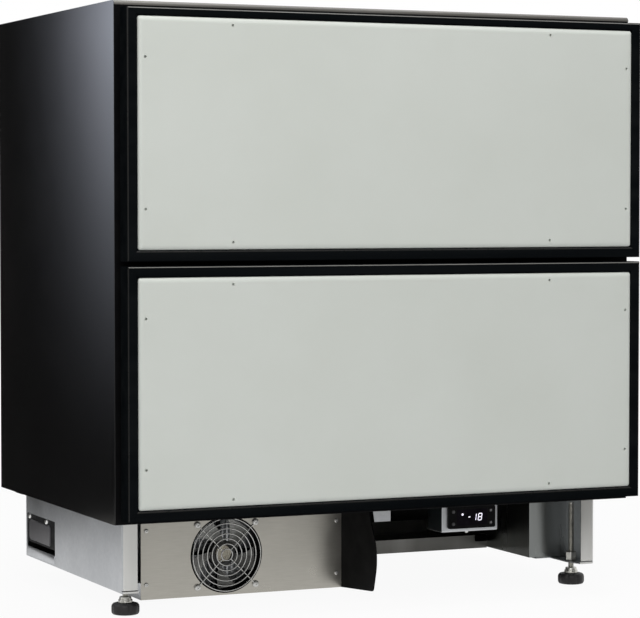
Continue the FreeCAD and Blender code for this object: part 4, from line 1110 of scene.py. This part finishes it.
def corner_buffers():
    """Rubber buffers under the cabinet's rear corners."""
    low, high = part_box("left_side_panel")
    half_x = 9 * MM
    half_y = 22 * MM
    corner = 3 * MM
    drop = 5.5 * MM
    ease = 0.9 * MM
    centre_x = -low.x - 21 * MM
    centre_y = high.y - 60 * MM
    rows = ((0, low.z), (0, low.z - drop + ease), (ease, low.z - drop))
    bm = bmesh.new()
    for side in SIDES:
        block(bm, half_x, half_y, corner, rows,
              lambda a, b, z: Vector((side * centre_x + a, centre_y + b, z)))
    piece("corner_buffers", bm, "seal_rubber")


def soft_edges():
    """Eased edges on the nodes that keep their own shape."""
    for name in ("controller_case", "air_baffle", "condenser_fan_frame", "evaporator_fan_frame"):
        soften(name, width=0.6)
    soften("foot_nuts", width=1.0)
    for drawer in DRAWERS:
        soften(f"{drawer}_inner_panel", width=2.0, segments=3)


def studio():
    """Pale floor, white surroundings, soft lamps and the camera of the photograph."""
    world = bpy.data.worlds.new("studio")
    scene.world = world
    world.use_nodes = True
    tree = world.node_tree
    backdrop = tree.nodes["Background"]
    backdrop.inputs["Color"].default_value = WHITE
    tree.links.new(seen_or(tree, unseen=0.38, seen=1.0), backdrop.inputs["Strength"])

    floor_drop = 0.0005
    bm = bmesh.new()
    bmesh.ops.create_grid(bm, x_segments=8, y_segments=8, size=9)
    mesh = bpy.data.meshes.new("studio_floor")
    bm.to_mesh(mesh)
    bm.free()
    ground = put("studio_floor", mesh)
    ground.location.z = -floor_drop
    mesh.materials.append(floor_finish())

    lamp("key", (-1.3, -2.9, 3.1), aim=(0, -0.2, 0.6), size=(2.8, 2.0), power=88, colour=(1.0, 0.985, 0.96))
    lamp("overhead", (0.2, -0.2, 3.2), aim=(0, 0, 0.6), size=(2.6, 2.0), power=60, colour=(1, 1, 1))
    surround()

    tilt = 2.3114
    turn = -24.1289
    data = bpy.data.cameras.new("view")
    camera = put("view", data)
    data.sensor_fit = "HORIZONTAL"
    data.sensor_width = 36
    data.lens = 143.646
    camera.location = (-1.744, -3.9206, 0.6373)
    camera.rotation_euler = (math.radians(90 - tilt), 0, math.radians(turn))
    scene.camera = camera
    scene.view_settings.view_transform = "Standard"


def surround():
    """What only reflections see: a dark room beyond the pale floor, a dark card under the unit that is a
    painted shadow, and a soft box to the left behind.
    """
    dark = new_material("studio_dark", {"Base Color": (0, 0, 0, 1), "Specular IOR Level": 0,
                                        "Emission Color": (1, 0.96, 0.86, 1), "Emission Strength": 0.1})[0]
    lift = 0.002
    for name, corner, across, up in (
            ("room_behind", (-4, 1.7, 0), (4.6, 0, 0), (0, 0, 3)),
            ("ground_behind", (-4, 0.75, lift), (4.6, 0, 0), (0, 0.95, 0)),
            ("room_ahead", (-0.6, -3.2, 0), (5.1, 0, 0), (0, 0, 2.6)),
            ("ground_ahead", (-0.6, -3.2, lift), (5.1, 0, 0), (0, 1.3, 0)),
            ("room_left", (-2.6, -2.8, 0), (0, 2.4, 0), (0, 0, 0.85)),
            ("ground_left", (-2.6, -2.8, lift), (1.7, 0, 0), (0, 2.4, 0)),
            ("ground_right", (0.5, -1.9, lift), (1.8, 0, 0), (0, 1.28, 0)),
            # A dark card under the unit: a painted shadow on the floor, seen in reflections.
            ("shadow_below", (-0.4, -0.12, lift), (0.82, 0, 0), (0, 0.4, 0))):
        card(name, corner, across, up, dark)
    card("soft_box", (-1.6, 0.6, 0.05), (1.08, 0, 0), (0, 0, 1.5), soft_box_finish())


def card(name, corner, across, up, material):
    """A flat card that only shows in reflections."""
    corner, across, up = Vector(corner), Vector(across), Vector(up)
    mesh = bpy.data.meshes.new(name)
    mesh.from_pydata([corner, corner + across, corner + across + up, corner + up], [], [(0, 1, 2, 3)])
    mesh.materials.append(material)
    made = put(name, mesh)
    made.visible_camera = False
    made.visible_diffuse = False
    made.visible_shadow = False


def show(tree, output):
    """Makes an output the material's surface."""
    tree.links.new(output, tree.nodes["Material Output"].inputs["Surface"])


def soft_box_finish():
    """Bluish light that is full towards the upper left of its card and fades to the lower right."""
    material, tree, _ = new_material("studio_soft_box", {})
    place = add(tree, "ShaderNodeTexCoord", {}).outputs["Object"]
    axes = add(tree, "ShaderNodeSeparateXYZ", {"Vector": place})
    level = 2.4
    for axis, start, end, power in (("X", -0.535, -0.765, 3.6), ("Z", 0.05, 0.96, 2.4)):
        inputs = {"From Min": start, "From Max": end, "Value": axes.outputs[axis]}
        fade = add(tree, "ShaderNodeMapRange", inputs).outputs["Result"]
        level = combine(tree, "MULTIPLY", combine(tree, "POWER", fade, power), level)
    glow = add(tree, "ShaderNodeEmission", {"Color": (0.82, 0.87, 1.0, 1), "Strength": level})
    show(tree, glow.outputs["Emission"])
    return material


def seen_or(tree, unseen, seen):
    """A level for what the camera, mirrors and glass see, and another for the light that falls on things."""
    path = add(tree, "ShaderNodeLightPath", {})
    total = path.outputs["Is Camera Ray"]
    for name in ("Is Glossy Ray", "Is Transmission Ray"):
        total = combine(tree, "MAXIMUM", total, path.outputs[name])
    inputs = {"To Min": unseen, "To Max": seen, "Value": total}
    return add(tree, "ShaderNodeMapRange", inputs).outputs["Result"]


def floor_finish():
    """Pale floor that keeps a soft shadow and otherwise reads as white."""
    material, tree, surface = new_material("studio_floor", {"Base Color": (0.66, 0.66, 0.66, 1),
                                                            "Roughness": 0.9, "Specular IOR Level": 0})
    glow = add(tree, "ShaderNodeEmission", {"Color": WHITE})
    inputs = {"Fac": seen_or(tree, unseen=0.0, seen=0.94),
              1: surface.outputs["BSDF"], 2: glow.outputs["Emission"]}
    show(tree, add(tree, "ShaderNodeMixShader", inputs).outputs["Shader"])
    return material


def lamp(name, place, aim, size, power, colour):
    """A soft rectangular lamp that points from its place to its aim."""
    data = bpy.data.lights.new(name, "AREA")
    data.shape = "RECTANGLE"
    data.size, data.size_y = size
    data.energy = power
    data.color = colour
    made = put(name, data)
    made.location = place
    made.rotation_euler = (Vector(aim) - Vector(place)).to_track_quat("-Z", "Y").to_euler()


dress_frame()
soft_edges()
cabinet_skin()
mullion_strip()
foam_shell()
front_frames()
face_plates()
gaskets()
levelling_feet()
guard_wires()
fans()
screws()
display_digits()
buttons()
side_cover_pans()
hanging_tab()
electrics_box()
controller_bracket()
base_plates()
back_sheet()
tray_end_shadow()
window_sills()
corner_buffers()
studio()
